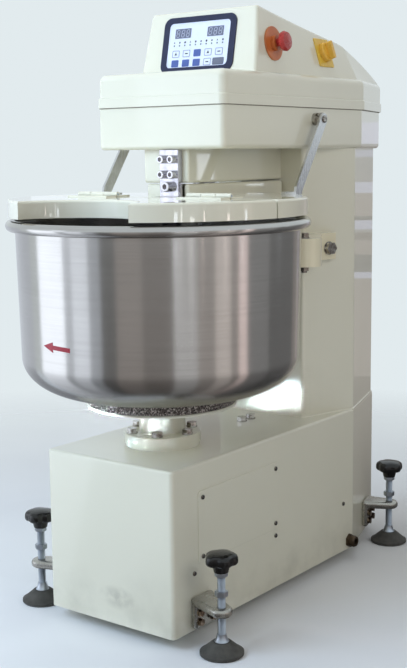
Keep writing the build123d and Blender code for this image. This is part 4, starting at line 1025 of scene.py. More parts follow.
@dataclass
class Bowl:
    """Spun bowl: floor, elliptical corner, leaning wall, rolled rim, and the turning arrow on its wall.

    Attributes:
        wall: Outer radius at wall_z.
        wall_z: Height where the wall radius is measured.
        slope: Growth of the radius with height.
        corner: Width and height of the corner's ellipse.
        skin: Sheet thickness.
        bead: Radius of the rolled rim.
        arrow_z: Height of the arrow.
        arrow_turn: Direction of the arrow's middle from +X, in degrees.
        arrow_size: Places of tip, neck and tail round the wall and half heights of head and shaft, in mm.
        arrow_lean: Fall of the arrow along the wall.
        arrow_slab: Heights of the arrow's foot and top over the wall and width of its rim, in mm.
        arrow_eye: Shares of neck and tip in the point from which all of the arrow can be seen.
        arrow_parts: Parts of each side of the arrow.
        arrow_rings: Rings between that point and the arrow's rim.
        steps: Points on each of the corner, the wall and the rim.
        floor_steps: Points on the floor.
        around: Points round the axis.
    """

    wall: float = 0.280
    wall_z: float = 0.720
    slope: float = 0.022
    corner: tuple[float, float] = (0.114, 0.077)
    skin: float = 0.0025
    bead: float = 0.0105
    arrow_z: float = 0.580
    arrow_turn: float = -94.8
    arrow_size: tuple[float, float, float, float, float] = (-36.0, -8.0, 36.0, 10.0, 4.2)
    arrow_lean: float = 0.041
    arrow_slab: tuple[float, float, float] = (-0.1, 0.25, 0.1)
    arrow_eye: tuple[float, float] = (0.94, 0.06)
    arrow_parts: int = 12
    arrow_rings: int = 10
    steps: int = 40
    floor_steps: int = 16
    around: int = 256

    def section(self, skin: float) -> np.ndarray:
        """Half section inside the outer face by a skin thickness, from the axis up to the rim.

        Args:
            skin: Distance inside the outer face.

        Returns:
            Array of (radius, height) rows.
        """
        low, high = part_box("bowl")
        rim_z = high.z - self.bead
        wide, tall = self.corner[0] - skin, self.corner[1] - skin
        centre_z = low.z + self.corner[1]
        turn = math.atan(self.slope * tall / wide)
        foot = centre_z - tall * math.sin(turn)
        centre = self.wall - skin - wide * math.cos(turn) - (self.wall_z - foot) * self.slope
        angle = np.linspace(-np.pi / 2, -turn, self.steps)
        bend = np.array([centre, centre_z]) + np.array([wide, tall]) * aims(angle)
        height = np.linspace(foot, rim_z, self.steps)[1:]
        rise = np.stack([self.wall - skin + (height - self.wall_z) * self.slope, height], -1)
        reach = np.linspace(0, centre, self.floor_steps)[:-1]
        flat = np.stack([reach, np.full(len(reach), low.z + skin)], -1)
        return np.concatenate([flat, bend, rise])

    def build(self) -> None:
        """Makes the bowl's skin with its rim, and the arrow."""
        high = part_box("bowl")[1]
        outer, inner = self.section(0.0), self.section(self.skin)
        middle = np.array([high.x - self.bead, high.z - self.bead])
        reach = outer[-1, 0] - middle[0]
        start = -np.pi + math.acos(-reach / self.bead)
        bead = middle + self.bead * aims(np.linspace(start, np.pi, self.steps))
        wall = outer[outer[:, 1] < bead[0, 1]]
        lining = inner[inner[:, 1] < middle[1]][::-1]
        profile = np.concatenate([wall, bead, lining])
        skin = Surface().grid(turned(Place(tuple(BOWL_AXIS)), profile, self.around))
        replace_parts(skin.piece("bowl_skin", SPUN_BOWL, "bowl", "stainless"), "bowl")
        self.arrow()

    def arrow(self) -> None:
        """Lays the arrow on the wall: a thin slab with a three-sided head and a straight shaft."""
        tip, neck, tail, head, shaft = mm(*self.arrow_size)
        corners = np.array([(tip, 0), (neck, head), (neck, shaft), (tail, shaft)])
        corners = np.concatenate([corners, corners[:0:-1] * (1, -1), corners[:1]])
        outline = filled(corners, self.arrow_parts)[:-1]
        outline[:, 1] -= self.arrow_lean * outline[:, 0]
        radius = self.wall + (self.arrow_z - self.wall_z) * self.slope
        turn = math.radians(self.arrow_turn)
        foot = (*BOWL_AXIS[:2], self.arrow_z)
        spot = WallPlace(foot, radius=radius, slope=self.slope, turn=turn)
        eye = np.array([neck * self.arrow_eye[0] + tip * self.arrow_eye[1], 0.0])
        decal = Surface().grid(slab(spot, outline, *mm(*self.arrow_slab), eye, self.arrow_rings))
        decal.piece("bowl_arrow", DECAL_RED, "bowl", "signal_red")


class Segment(Enum):
    """Bars of a number: where each lies and whether it stands."""

    TOP = (0.0, 1.0, False)
    MIDDLE = (0.0, 0.0, False)
    BOTTOM = (0.0, -1.0, False)
    LEFT_HIGH = (-1.0, 0.5, True)
    LEFT_LOW = (-1.0, -0.5, True)
    RIGHT_HIGH = (1.0, 0.5, True)
    RIGHT_LOW = (1.0, -0.5, True)


class KeyFace(Enum):
    """What a key of the panel shows."""

    UP = "up"
    DASH = "dash"
    BLUE = "blue"
    WIDE = "wide"


@dataclass
class ControlPanel:
    """Printed face of the control panel: number windows, lamps, marks and keys on the membrane.

    Attributes:
        lean: Tangent of the face's lean.
        thick: Thickness of the membrane.
        key: Width and height of a key.
        wide: Width of the wide key.
        pitch: Distance between key columns, the middle one on the panel's middle.
        rows: Distances of the key rows below the membrane's top edge.
        window: Width and height of a number window.
        window_x: Distance of the windows from the middle.
        window_drop: Distance of the windows below the top edge.
        lamp_drop: Distance of the lamp row below the top edge.
        lamp_pitch: Distance between lamps.
        layout: What the keys show, row by row.
        window_corner: Corner radius of a window, in mm.
        glass: Heights of a window's foot and top and width of its rim, in mm.
        number_pitch: Distance between numbers as a share of the window's width.
        digit: Half width and half height of a number and half thickness of its bars, in mm.
        digit_gaps: What standing and lying bars leave free at each end, in mm.
        digit_slant: Lean of a number to the right.
        bar: Heights and rim of a number's bars, in mm.
        lamp_dome: Radius and height of a lamp, in mm.
        lamp_sink: Angle of the dome that lies below the face, in radians.
        lamp_sides: Number of sides of each lamp's mark.
        lamp_mark: Radius of a mark and its distance above its lamp, in mm.
        lamp_ink: Heights and rim of the lamps' marks, in mm.
        key_corner: Corner radius of a key, in mm.
        cap: Heights and rim of a filled key, in mm.
        line: Width, foot and top of a key's outline, in mm.
        key_ink: Heights and rim of the keys' marks, in mm.
        up_mark: Corners of the upward triangle, in mm.
        dash_mark: Width, height and corner radius of the dash, in mm.
    """

    lean: float = 26.0 / 130.0
    thick: float = 0.0012
    key: tuple[float, float] = (0.0182, 0.0146)
    wide: float = 0.0280
    pitch: float = 0.02735
    rows: tuple[float, float] = (0.0637, 0.0833)
    window: tuple[float, float] = (0.0405, 0.0198)
    window_x: float = 0.0409
    window_drop: float = 0.0218
    lamp_drop: float = 0.0464
    lamp_pitch: float = 0.01364
    layout: tuple[tuple[KeyFace, ...], ...] = (
        (KeyFace.UP, KeyFace.DASH, KeyFace.BLUE, KeyFace.UP, KeyFace.DASH),
        (KeyFace.BLUE, KeyFace.BLUE, KeyFace.BLUE, KeyFace.DASH, KeyFace.WIDE),
    )
    window_corner: float = 1.2
    glass: tuple[float, float, float] = (-0.2, 0.6, 0.3)
    number_pitch: float = 0.31
    digit: tuple[float, float, float] = (3.4, 7.0, 0.85)
    digit_gaps: tuple[float, float] = (0.3, 0.4)
    digit_slant: float = 0.1
    bar: tuple[float, float, float] = (0.4, 0.72, 0.05)
    lamp_dome: tuple[float, float] = (1.8, 0.9)
    lamp_sink: float = 0.3
    lamp_sides: tuple[int, ...] = (3, 4, 24, 3, 6, 4, 24, 4, 3, 6)
    lamp_mark: tuple[float, float] = (2.3, 6.2)
    lamp_ink: tuple[float, float, float] = (-0.1, 0.12, 0.03)
    key_corner: float = 2.0
    cap: tuple[float, float, float] = (-0.2, 0.6, 0.25)
    line: tuple[float, float, float] = (1.3, -0.2, 0.5)
    key_ink: tuple[float, float, float] = (0.1, 0.45, 0.03)
    up_mark: tuple[tuple[float, float], ...] = ((-3.2, -2.4), (3.2, -2.4), (0.0, 3.8))
    dash_mark: tuple[float, float, float] = (7.4, 2.2, 0.5)

    def build(self) -> None:
        """Places every mark on the membrane."""
        low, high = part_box("keypad")
        up = Vector((0.0, self.lean, 1.0)).normalized()
        size = ((high.z - low.z) - self.thick * up.y) / up.z
        middle = (low + high) / 2 + Vector((0.0, -up.z, up.y)) * self.thick / 2
        self.top = Place(tuple(middle + up * size / 2), y_axis=tuple(up))
        self.windows()
        self.lamp_row()
        self.keys()

    def windows(self) -> None:
        """Two dark windows, each with three numbers of seven bars."""
        glass, bars = Surface(), Surface()
        outline = rounded_box(*self.window, self.window_corner * MM)
        for x in (-self.window_x, self.window_x):
            spot = self.top.moved(x, -self.window_drop)
            glass.grid(slab(spot, outline, *mm(*self.glass)))
            for column in (-1, 0, 1):
                self.number(bars, spot.moved(column * self.window[0] * self.number_pitch, 0.0))
        glass.piece("number_windows", WINDOW_GREY, "frame", "panel_face")
        bars.piece("number_bars", DIGIT_GREY, "frame", "panel_face")

    def number(self, bars: Surface, spot: Place) -> None:
        """Seven bars of one number, leaning a little to the right.

        Args:
            bars: Surface that takes the bars.
            spot: Middle of the number.
        """
        half_wide, half_high, thick = mm(*self.digit)
        stand_gap, lie_gap = mm(*self.digit_gaps)
        point = thick * np.array([(-1, 0), (0, 1), (0, 1), (1, 0), (0, -1), (0, -1)], float)
        sides = np.array([(-1, 0), (-1, 0), (1, 0), (1, 0), (1, 0), (-1, 0)], float)
        for across, up, stands in (segment.value for segment in Segment):
            length = half_high / 2 - stand_gap if stands else half_wide - lie_gap
            ends = sides * (length - thick)
            outline = (point + ends)[:, ::-1] if stands else point + ends
            outline = outline + (across * half_wide, up * half_high)
            outline[:, 0] += outline[:, 1] * self.digit_slant
            bars.grid(slab(spot, outline, *mm(*self.bar)))

    def lamp_row(self) -> None:
        """A row of small domed lamps, each with a plain mark above it."""
        lamps, marks = Surface(), Surface()
        dome = np.array(mm(*self.lamp_dome)) * aims(np.linspace(-self.lamp_sink, np.pi / 2, 7))
        dome = np.concatenate([[(0.0, dome[0, 1])], dome])
        mark_radius, above = mm(*self.lamp_mark)
        for i, sides in enumerate(self.lamp_sides):
            x = (i - (len(self.lamp_sides) - 1) / 2) * self.lamp_pitch
            lamps.grid(turned(self.top.moved(x, -self.lamp_drop), dome, around=16))
            outline = mark_radius * aims(np.arange(sides) * 2 * np.pi / sides + np.pi / 2)
            spot = self.top.moved(x, -self.lamp_drop + above)
            marks.grid(slab(spot, outline, *mm(*self.lamp_ink)))
        lamps.piece("panel_lamps", LAMP_LENS, "frame", "panel_face")
        marks.piece("lamp_marks", INK_AND_PAINTED_SHADE, "frame", "panel_face")

    def keys(self) -> None:
        """Two rows of keys: filled ones, and outlined ones with their marks."""
        blue, grey, lines, marks = Surface(), Surface(), Surface(), Surface()
        filled_keys = {KeyFace.BLUE: blue, KeyFace.WIDE: grey}
        width, height = self.key
        line, low, high = mm(*self.line)
        for drop, faces in zip(self.rows, self.layout):
            for column, face in enumerate(faces):
                spot = self.top.moved((column - len(faces) // 2) * self.pitch, -drop)
                across = self.wide if face is KeyFace.WIDE else width
                outline = rounded_box(across, height, self.key_corner * MM)
                if face in filled_keys:
                    filled_keys[face].grid(slab(spot, outline, *mm(*self.cap)))
                else:
                    lines.grid(ring(spot, outline, frame_of(outline, line), low, high))
                    marks.grid(slab(spot, self.mark(face), *mm(*self.key_ink)))
        blue.piece("keys_blue", KEY_BLUE, "frame", "panel_face")
        grey.piece("key_wide", KEY_GREY, "frame", "panel_face")
        lines.piece("key_outlines", KEY_LINE, "frame", "panel_face")
        marks.piece("key_marks", INK_AND_PAINTED_SHADE, "frame", "panel_face")

    def mark(self, face: KeyFace) -> np.ndarray:
        """Outline of the mark on an outlined key: an upward triangle or a dash.

        Args:
            face: What the key shows.

        Returns:
            Array of (x, y) rows.
        """
        if face is KeyFace.UP:
            return np.array(self.up_mark) * MM
        return rounded_box(*mm(*self.dash_mark))


@dataclass
class ScrewFoot:
    """Threaded rod of a foot with its nuts and its flared end.

    Attributes:
        corner: Name of the foot.
        radius: Outer radius of the thread.
        pitch: Rise of the thread per turn.
        depth: Depth of the thread.
        flats: Width of a nut across its flats.
        lock_nut: Foot and height of the lock nut.
        knob_nut: Height of the nut under the knob.
        flare: Profile of the flared end, radius and height above the pad in mm.
        flare_gap: Height of the flared end over the pad, in mm.
        turn_steps: Rows of points per turn of the thread.
        around: Points round the thread, a nut and the flared end.
        nut_steps: Heights of a nut's rows as shares of its height.
        chamfer: Share of the flats' radius at a nut's faces, and growth of the radius from there on.
    """

    corner: str
    radius: float = 0.008
    pitch: float = 0.002
    depth: float = 0.0011
    flats: float = 0.022
    lock_nut: tuple[float, float] = (0.114, 0.011)
    knob_nut: float = 0.008
    flare: tuple[tuple[float, float], ...] = (
        (0.0, 0.0), (14.0, 0.0), (14.0, 0.6), (12.4, 3.0), (10.8, 6.5), (9.6, 10.5), (9.0, 14.8), (0.0, 14.8)
    )
    flare_gap: float = 0.2
    turn_steps: int = 6
    around: tuple[int, int, int] = (24, 72, 40)
    nut_steps: tuple[float, ...] = (0.0, 0.0, 0.04, 0.08, 0.15, 0.5, 0.85, 0.92, 0.96, 1.0, 1.0)
    chamfer: tuple[float, float] = (0.97, 1.9)

    def build(self) -> None:
        """Makes the rod with its thread, two nuts and the flared end as one piece."""
        node = "foot_screw_" + self.corner
        low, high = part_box(node)
        knob_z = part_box("foot_knob_" + self.corner)[0].z
        place = Place(((low.x + high.x) / 2, (low.y + high.y) / 2, 0.0))
        screw = Surface().grid(self.thread(place, low.z, high.z))
        for foot, height in (self.lock_nut, (knob_z - self.knob_nut, self.knob_nut)):
            screw.grid(self.hexagon(place, foot, height))
        pad_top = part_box("foot_pad_" + self.corner)[1].z + self.flare_gap * MM
        screw.grid(turned(place.moved(0.0, 0.0, pad_top), np.array(self.flare) * MM, self.around[2]))
        made = screw.piece("threaded_" + self.corner, FINISHES["zinc"], "screw_" + self.corner, "zinc")
        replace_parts(made, node)

    def thread(self, place: Place, low: float, high: float) -> np.ndarray:
        """Rod whose radius dips along a helix: a triangle wave of height over pitch less turns.

        Args:
            place: Foot of the rod's axis.
            low: Lower end.
            high: Upper end.

        Returns:
            Grid of points.
        """
        rows = round((high - low) / self.pitch * self.turn_steps)
        height = np.concatenate([[low], np.linspace(low, high, rows), [high]])
        angle = full_turn(self.around[0])
        wave = (height[:, None] / self.pitch - angle / (2 * np.pi)) % 1.0
        radius = self.radius - self.depth * np.abs(2 * wave - 1)
        radius[[0, -1]] = 0.0
        return place.polar(radius, angle, height[:, None])

    def hexagon(self, place: Place, foot: float, height: float) -> np.ndarray:
        """Nut: the lesser of a hexagon's radius and a cone at each end.

        Args:
            place: Foot of the rod's axis.
            foot: Height of the nut's lower face.
            height: Height of the nut.

        Returns:
            Grid of points.
        """
        angle = full_turn(self.around[1])
        flat = self.flats / 2
        corner = flat / np.cos((angle + np.pi / 6) % (np.pi / 3) - np.pi / 6)
        steps = np.array(self.nut_steps) * height
        ends = np.minimum(steps, height - steps)[:, None]
        radius = np.minimum(corner, flat * self.chamfer[0] + ends * self.chamfer[1])
        radius[[0, -1]] = 0.0
        return place.polar(radius, angle, foot + steps[:, None])


@dataclass
class StarKnob:
    """Moulded knob of a foot: a round neck under a domed head with soft lobes.

    Attributes:
        corner: Name of the foot.
        facing: Direction of the first hollow from +X, in degrees.
        lobes: Number of lobes.
        hollow: Share of the radius that a hollow takes away.
        profile: Radius and height below the top in mm, and share of the hollows, from the neck up.
        parts: Parts of each stretch of the profile.
        around: Points round the axis.
        bluntness: Power of the wave that makes the hollows: the larger, the wider the lobes.
    """

    corner: str
    facing: float
    lobes: int = 5
    hollow: float = 0.15
    profile: tuple[tuple[float, float, float], ...] = (
        (0.0, 39.0, 0.0), (13.2, 39.0, 0.0), (13.8, 38.4, 0.0), (15.4, 31.0, 0.0), (16.6, 26.0, 0.1),
        (20.0, 24.4, 0.5), (25.0, 24.2, 0.9), (29.4, 23.0, 1.0), (31.6, 20.0, 1.0), (32.0, 15.5, 1.0),
        (31.6, 10.5, 1.0), (29.8, 6.4, 0.9), (25.4, 3.4, 0.6), (17.6, 1.4, 0.3), (9.0, 0.35, 0.08),
        (0.0, 0.0, 0.0),
    )
    parts: int = 4
    around: int = 120
    bluntness: float = 1.6

    def build(self) -> None:
        """Carries the profile round the axis: the radius dips in each hollow by the hollows' share."""
        node = "foot_knob_" + self.corner
        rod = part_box("foot_screw_" + self.corner)
        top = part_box(node)[1].z
        radius, drop, share = filled(np.array(self.profile), self.parts).T[..., None]
        angle = full_turn(self.around)
        wave = np.cos(self.lobes * (angle - math.radians(self.facing)))
        dip = ((1 + wave) / 2) ** self.bluntness
        radius = radius * (1 - self.hollow * share * dip) * MM
        middle = (rod[0] + rod[1]) / 2
        place = Place((middle.x, middle.y, top))
        head = Surface().grid(place.polar(radius, angle, -drop * MM))
        made = head.piece("knob_" + self.corner, FINISHES["knob_black"], "screw_" + self.corner, "knob_black")
        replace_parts(made, node)


@dataclass
class FootBrackets:
    """Cast brackets of the feet: a leg on the base and a lug with a round nose, all edges rounded.

    Attributes:
        facings: Direction out of the wall for each foot, in degrees from +X.
        front: Reach of the rod out of the wall, its shift along it and the lug's top, in mm.
        rear: The same for the rear feet.
        lug: Thickness of the lug, radius of its nose and of its edge, in mm.
        leg: Width, height, thickness and edge radius of the leg, in mm.
        leg_drop: Distance of the leg's top below the lug's top, in mm.
        hole: Radius of the hole for the rod, in mm.
        around: Points round a plate.
        edge_points: Points across its round edge.
    """

    facings: dict[str, float]
    front: tuple[float, float, float] = (75.5, -33.0, 93.0)
    rear: tuple[float, float, float] = (60.0, 0.0, 102.0)
    lug: tuple[float, float, float] = (18.0, 21.0, 8.0)
    leg: tuple[float, float, float, float] = (60.0, 62.0, 14.0, 5.5)
    leg_drop: float = 0.6
    hole: float = 8.3
    around: int = 120
    edge_points: int = 14

    def build(self) -> None:
        """Makes all four brackets as one piece."""
        cast = Surface()
        for corner, facing in self.facings.items():
            out, shift, top = self.rear if corner.startswith("rear") else self.front
            shift = -shift if corner.endswith("left") else shift
            turn = math.radians(facing)
            away = np.array([math.cos(turn), math.sin(turn), 0.0])
            along = np.array([-away[1], away[0], 0.0])
            low, high = (np.array(side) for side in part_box("foot_screw_" + corner))
            foot = ((low + high) / 2 - (out * away + shift * along) * MM) * (1, 1, 0)
            width, height, thick, edge = self.leg
            depth, nose, soft = self.lug
            wall = np.array([(0, -width / 2), (thick, -width / 2), (thick, width / 2), (0, width / 2)])
            level = Place(tuple(foot), tuple(away), tuple(along))
            cast.grid(self.plate(level, wall, soft, (top - depth, top), (out, shift), nose))
            upright = Place(tuple(foot), tuple(along), (0.0, 0.0, 1.0))
            side = np.array([(-1, 0), (1, 0), (1, -1), (-1, -1)]) * (width / 2, height)
            side += (0, top - self.leg_drop)
            cast.grid(self.plate(upright, side, edge, (0.0, thick)))
        made = cast.piece("bracket_castings", FINISHES["cast_grey"], "frame", "cast_grey")
        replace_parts(made, "foot_brackets")

    def plate(
        self,
        place: Place,
        corners: np.ndarray,
        edge: float,
        heights: tuple[float, float],
        nose: tuple[float, float] | None = None,
        nose_radius: float = 0.0,
    ) -> np.ndarray:
        """Flat convex plate with a round edge, with a holed nose if asked.

        In each direction of its plan the farthest point of the corners and the nose is taken, both drawn
        in by the edge radius, and a half circle of that radius is set on it.

        Args:
            place: Where it lies.
            corners: Corners of the plan in mm.
            edge: Radius of the edge in mm.
            heights: Heights of its two faces in mm.
            nose: Middle of the round nose in mm, none if None.
            nose_radius: Radius of the nose in mm.

        Returns:
            Grid of points.
        """
        aim = aims(full_turn(self.around))
        drawn = corners - edge * np.sign(corners - corners.mean(0))
        middle = corners.mean(0) if nose is None else np.array(nose)
        spots = np.repeat(drawn[None], len(aim), 0)
        if nose is not None:
            spots = np.concatenate([spots, (middle + (nose_radius - edge) * aim)[:, None]], 1)
        rim = spots[np.arange(len(aim)), (spots * aim[:, None]).sum(-1).argmax(1)]
        bend = np.linspace(-np.pi / 2, np.pi / 2, self.edge_points)
        plan = rim + edge * np.cos(bend)[:, None, None] * aim
        low, high = heights
        rise = np.where(bend < 0, low + edge, high - edge) + edge * np.sin(bend)
        mouth = (middle + (0.0 if nose is None else self.hole) * aim)[None]
        plan = np.concatenate([mouth, plan, mouth])
        rise = np.concatenate([[low], rise, [high]])
        if nose is not None:
            plan, rise = np.concatenate([plan, mouth]), np.append(rise, low)
        return place.at(plan[..., 0] * MM, plan[..., 1] * MM, rise[:, None] * MM)


@dataclass
class Housings:
    """Seams of the welded and moulded housings: the weld under the column and the seal under the cover, whose
    darker grey also paints the shade under the lip.

    Attributes:
        column: Corners of the column's right half in plan, from the front, measured from the bowl axis.
        head: Corners of the head's right half in plan.
        bead: Radius of the weld bead.
        weld_path: Corner radius and distance of points along the weld, in mm.
        ripple: Growth of the bead at a ripple's crest, and turn of the wave from point to point.
        weld_points: Points round the bead.
        weld_sink: How far the bead's middle lies in and down, in mm.
        seal_path: Corner radius and distance of points along the seal, in mm.
        seal_section: Outline of the seal, out and up, in mm.
    """

    column: tuple[tuple[float, float], ...] = ((0.113, 0.352), (0.156, 0.499), (0.090, 0.702))
    head: tuple[tuple[float, float], ...] = ((0.1575, 0.0035), (0.1575, 0.524), (0.098, 0.714))
    bead: float = 0.0028
    weld_path: tuple[float, float] = (8.0, 1.4)
    ripple: tuple[float, float] = (0.16, 0.7)
    weld_points: int = 12
    weld_sink: float = 0.4
    seal_path: tuple[float, float] = (10.0, 6.0)
    seal_section: tuple[tuple[float, float], ...] = (
        (-1.0, -0.05), (1.6, -0.05), (1.9, -0.8), (1.6, -1.6), (-1.0, -1.6), (-1.0, -0.05)
    )

    def plan(self, half: tuple[tuple[float, float], ...]) -> np.ndarray:
        """Whole plan from its right half, counter-clockwise.

        Args:
            half: Corners of the right half from the front to the rear.

        Returns:
            Array of (x, y) rows.
        """
        right = np.array(half) + BOWL_AXIS[:2]
        return np.concatenate([right, right[::-1] * (-1, 1)])

    def build(self) -> None:
        """Makes the weld bead and the seal."""
        self.weld()
        self.seal()

    def weld(self) -> None:
        """Bead round the column's foot: a round section whose size ripples along the path."""
        path, outward = walked(self.plan(self.column), *mm(*self.weld_path))
        path[:, 2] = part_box("column_shell")[0].z
        growth, step = self.ripple
        size = 1 + growth * np.abs(np.sin(np.arange(len(path)) * step))
        section = self.bead * aims(np.linspace(0, 2 * np.pi, self.weld_points))
        section = section[:, None] * size[None, :, None] - self.weld_sink * MM
        Surface().grid(swept(path, outward, section)).piece("column_weld", IVORY, "frame", "ivory_paint")

    def seal(self) -> None:
        """Seal strip that shows below the lip of the cover; its darker grey also paints the shade under the
        lip.
        """
        path, outward = walked(self.plan(self.head), *mm(*self.seal_path))
        path[:, 2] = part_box("head_cover")[0].z
        strip = Surface().grid(swept(path, outward, np.array(self.seal_section) * MM))
        strip.piece("cover_seal_and_shade", SEAL_AND_SHADE_GREY, "frame", "belt_rubber")


@dataclass
class SmallFittings:
    """Grease nipple on the hub, and the cross slots of the domed screws, drawn as dark slabs of painted
    shade.

    Attributes:
        hub_radius: Radius of the hub's neck.
        nipple_z: Height of the nipple.
        nipple_turn: Direction of the nipple from +X, in degrees.
        nipple_sink: How deep the nipple's foot lies in the neck, in mm.
        nipple_profile: Radius and height of the nipple's profile, in mm.
        slot: Length and width of a slot.
        slot_corner: Corner radius of a slot, in mm.
        slot_slab: Heights of a slot's foot and top from the screw's top and width of its rim, in mm.
        screw_rise: Height of a screw's head over its panel, in mm.
        cover_margin: Distance of screws from the edges of the access cover, in mm.
        side_y: Places of the screws along both sides of the base, measured from the bowl axis.
        side_z: Height of those screws.
        rear_margin: Distances of screws from the sides and the ends of the rear cover, in mm.
    """

    hub_radius: float = 0.047
    nipple_z: float = 0.417
    nipple_turn: float = -36.0
    nipple_sink: float = 0.6
    nipple_profile: tuple[tuple[float, float], ...] = (
        (0.0, 0.0), (4.2, 0.0), (4.2, 3.4), (2.6, 4.2), (2.2, 6.0), (3.1, 7.4), (2.4, 9.6), (0.0, 10.1)
    )
    slot: tuple[float, float] = (0.0052, 0.0009)
    slot_corner: float = 0.3
    slot_slab: tuple[float, float, float] = (-0.6, 0.06, 0.02)
    screw_rise: float = 3.0
    cover_margin: float = 13.0
    side_y: tuple[float, ...] = (-0.105, 0.175, 0.453)
    side_z: float = 0.137
    rear_margin: tuple[float, float] = (8.0, 12.0)

    def build(self) -> None:
        """Makes the nipple and the slots."""
        self.nipple()
        self.slots()

    def nipple(self) -> None:
        """Small turned fitting: hexagon, neck and ball."""
        turn = math.radians(self.nipple_turn)
        out = np.array([math.cos(turn), math.sin(turn), 0.0])
        side = np.cross([0.0, 0.0, 1.0], out)
        spot = BOWL_AXIS + out * (self.hub_radius - self.nipple_sink * MM) + (0.0, 0.0, self.nipple_z)
        place = Place(tuple(spot), tuple(side), (0.0, 0.0, 1.0))
        fitting = Surface().grid(turned(place, np.array(self.nipple_profile) * MM, around=24))
        fitting.piece("grease_nipple", BRASS_DULL, "frame", "bearing_steel")

    def slots(self) -> None:
        """Two crossed slots on each domed screw of the base and the rear cover, as dark slabs of painted
        shade where the recesses would be.
        """
        slots = Surface()
        rise, margin = mm(self.screw_rise, self.cover_margin)
        low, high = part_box("access_cover")
        for y in (low.y + margin, high.y - margin):
            for z in (low.z + margin, high.z - margin):
                self.cross(slots, Place((high.x + rise, y, z), (0, 1, 0), (0, 0, 1)))
        side = low.x + rise
        for y in self.side_y:
            spot = (side, y + BOWL_AXIS[1], self.side_z)
            self.cross(slots, Place(spot, (0, 1, 0), (0, 0, 1)))
            self.cross(slots, Place((-side, *spot[1:]), (0, -1, 0), (0, 0, 1)))
        inset, end = mm(*self.rear_margin)
        low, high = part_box("rear_cover")
        for x in (low.x + inset, high.x - inset):
            for z in (low.z + end, (low.z + high.z) / 2, high.z - end):
                self.cross(slots, Place((x, high.y + rise, z), (-1, 0, 0), (0, 0, 1)))
        # Painted shade: the slots are dark slabs, not cut recesses.
        slots.piece("screw_slots_painted_shade", INK_AND_PAINTED_SHADE, "frame", "zinc")

    def cross(self, slots: Surface, place: Place) -> None:
        """Adds the two slots of one screw.

        Args:
            slots: Surface that takes the slots.
            place: Middle of the screw's head.
        """
        for size in (self.slot, self.slot[::-1]):
            outline = rounded_box(*size, self.slot_corner * MM, steps=3)
            slots.grid(slab(place, outline, *mm(*self.slot_slab)))


@dataclass
class Lamp:
    """A soft box: place, what it faces, size, power, colour and the angle its light spreads over."""

    name: str
    spot: tuple[float, float, float]
    aim: tuple[float, float, float]
    size: tuple[float, float]
    power: float
    colour: tuple[float, float, float]
    spread: float = 180.0


class Tone(Enum):
    """Casts of the boards round the set, as factors on red, green and blue."""

    COOL = (0.92, 0.99, 1.09)
    PLAIN = (1.0, 1.0, 1.0)
    WARM = (1.06, 0.98, 0.93)
    ROSE = (1.14, 0.96, 0.92)
    LILAC = (0.92, 0.96, 1.16)


@dataclass
class Board:
    """A curved board round the set that only shows in reflections.

    Attributes:
        name: Name of the board.
        start: Direction of its first edge from +X about the bowl axis, in degrees.
        end: Direction of its last edge.
        level: Brightness.
        tone: Cast of its light.
        foot: Height of its lower edge; from zero it also runs along the floor.
        top: Height of its upper edge.
        reach: Distance of a board that hangs above the floor from the bowl axis.
    """

    name: str
    start: float
    end: float
    level: float
    tone: Tone
    foot: float = 0.0
    top: float = 1.05
    reach: float = 2.58


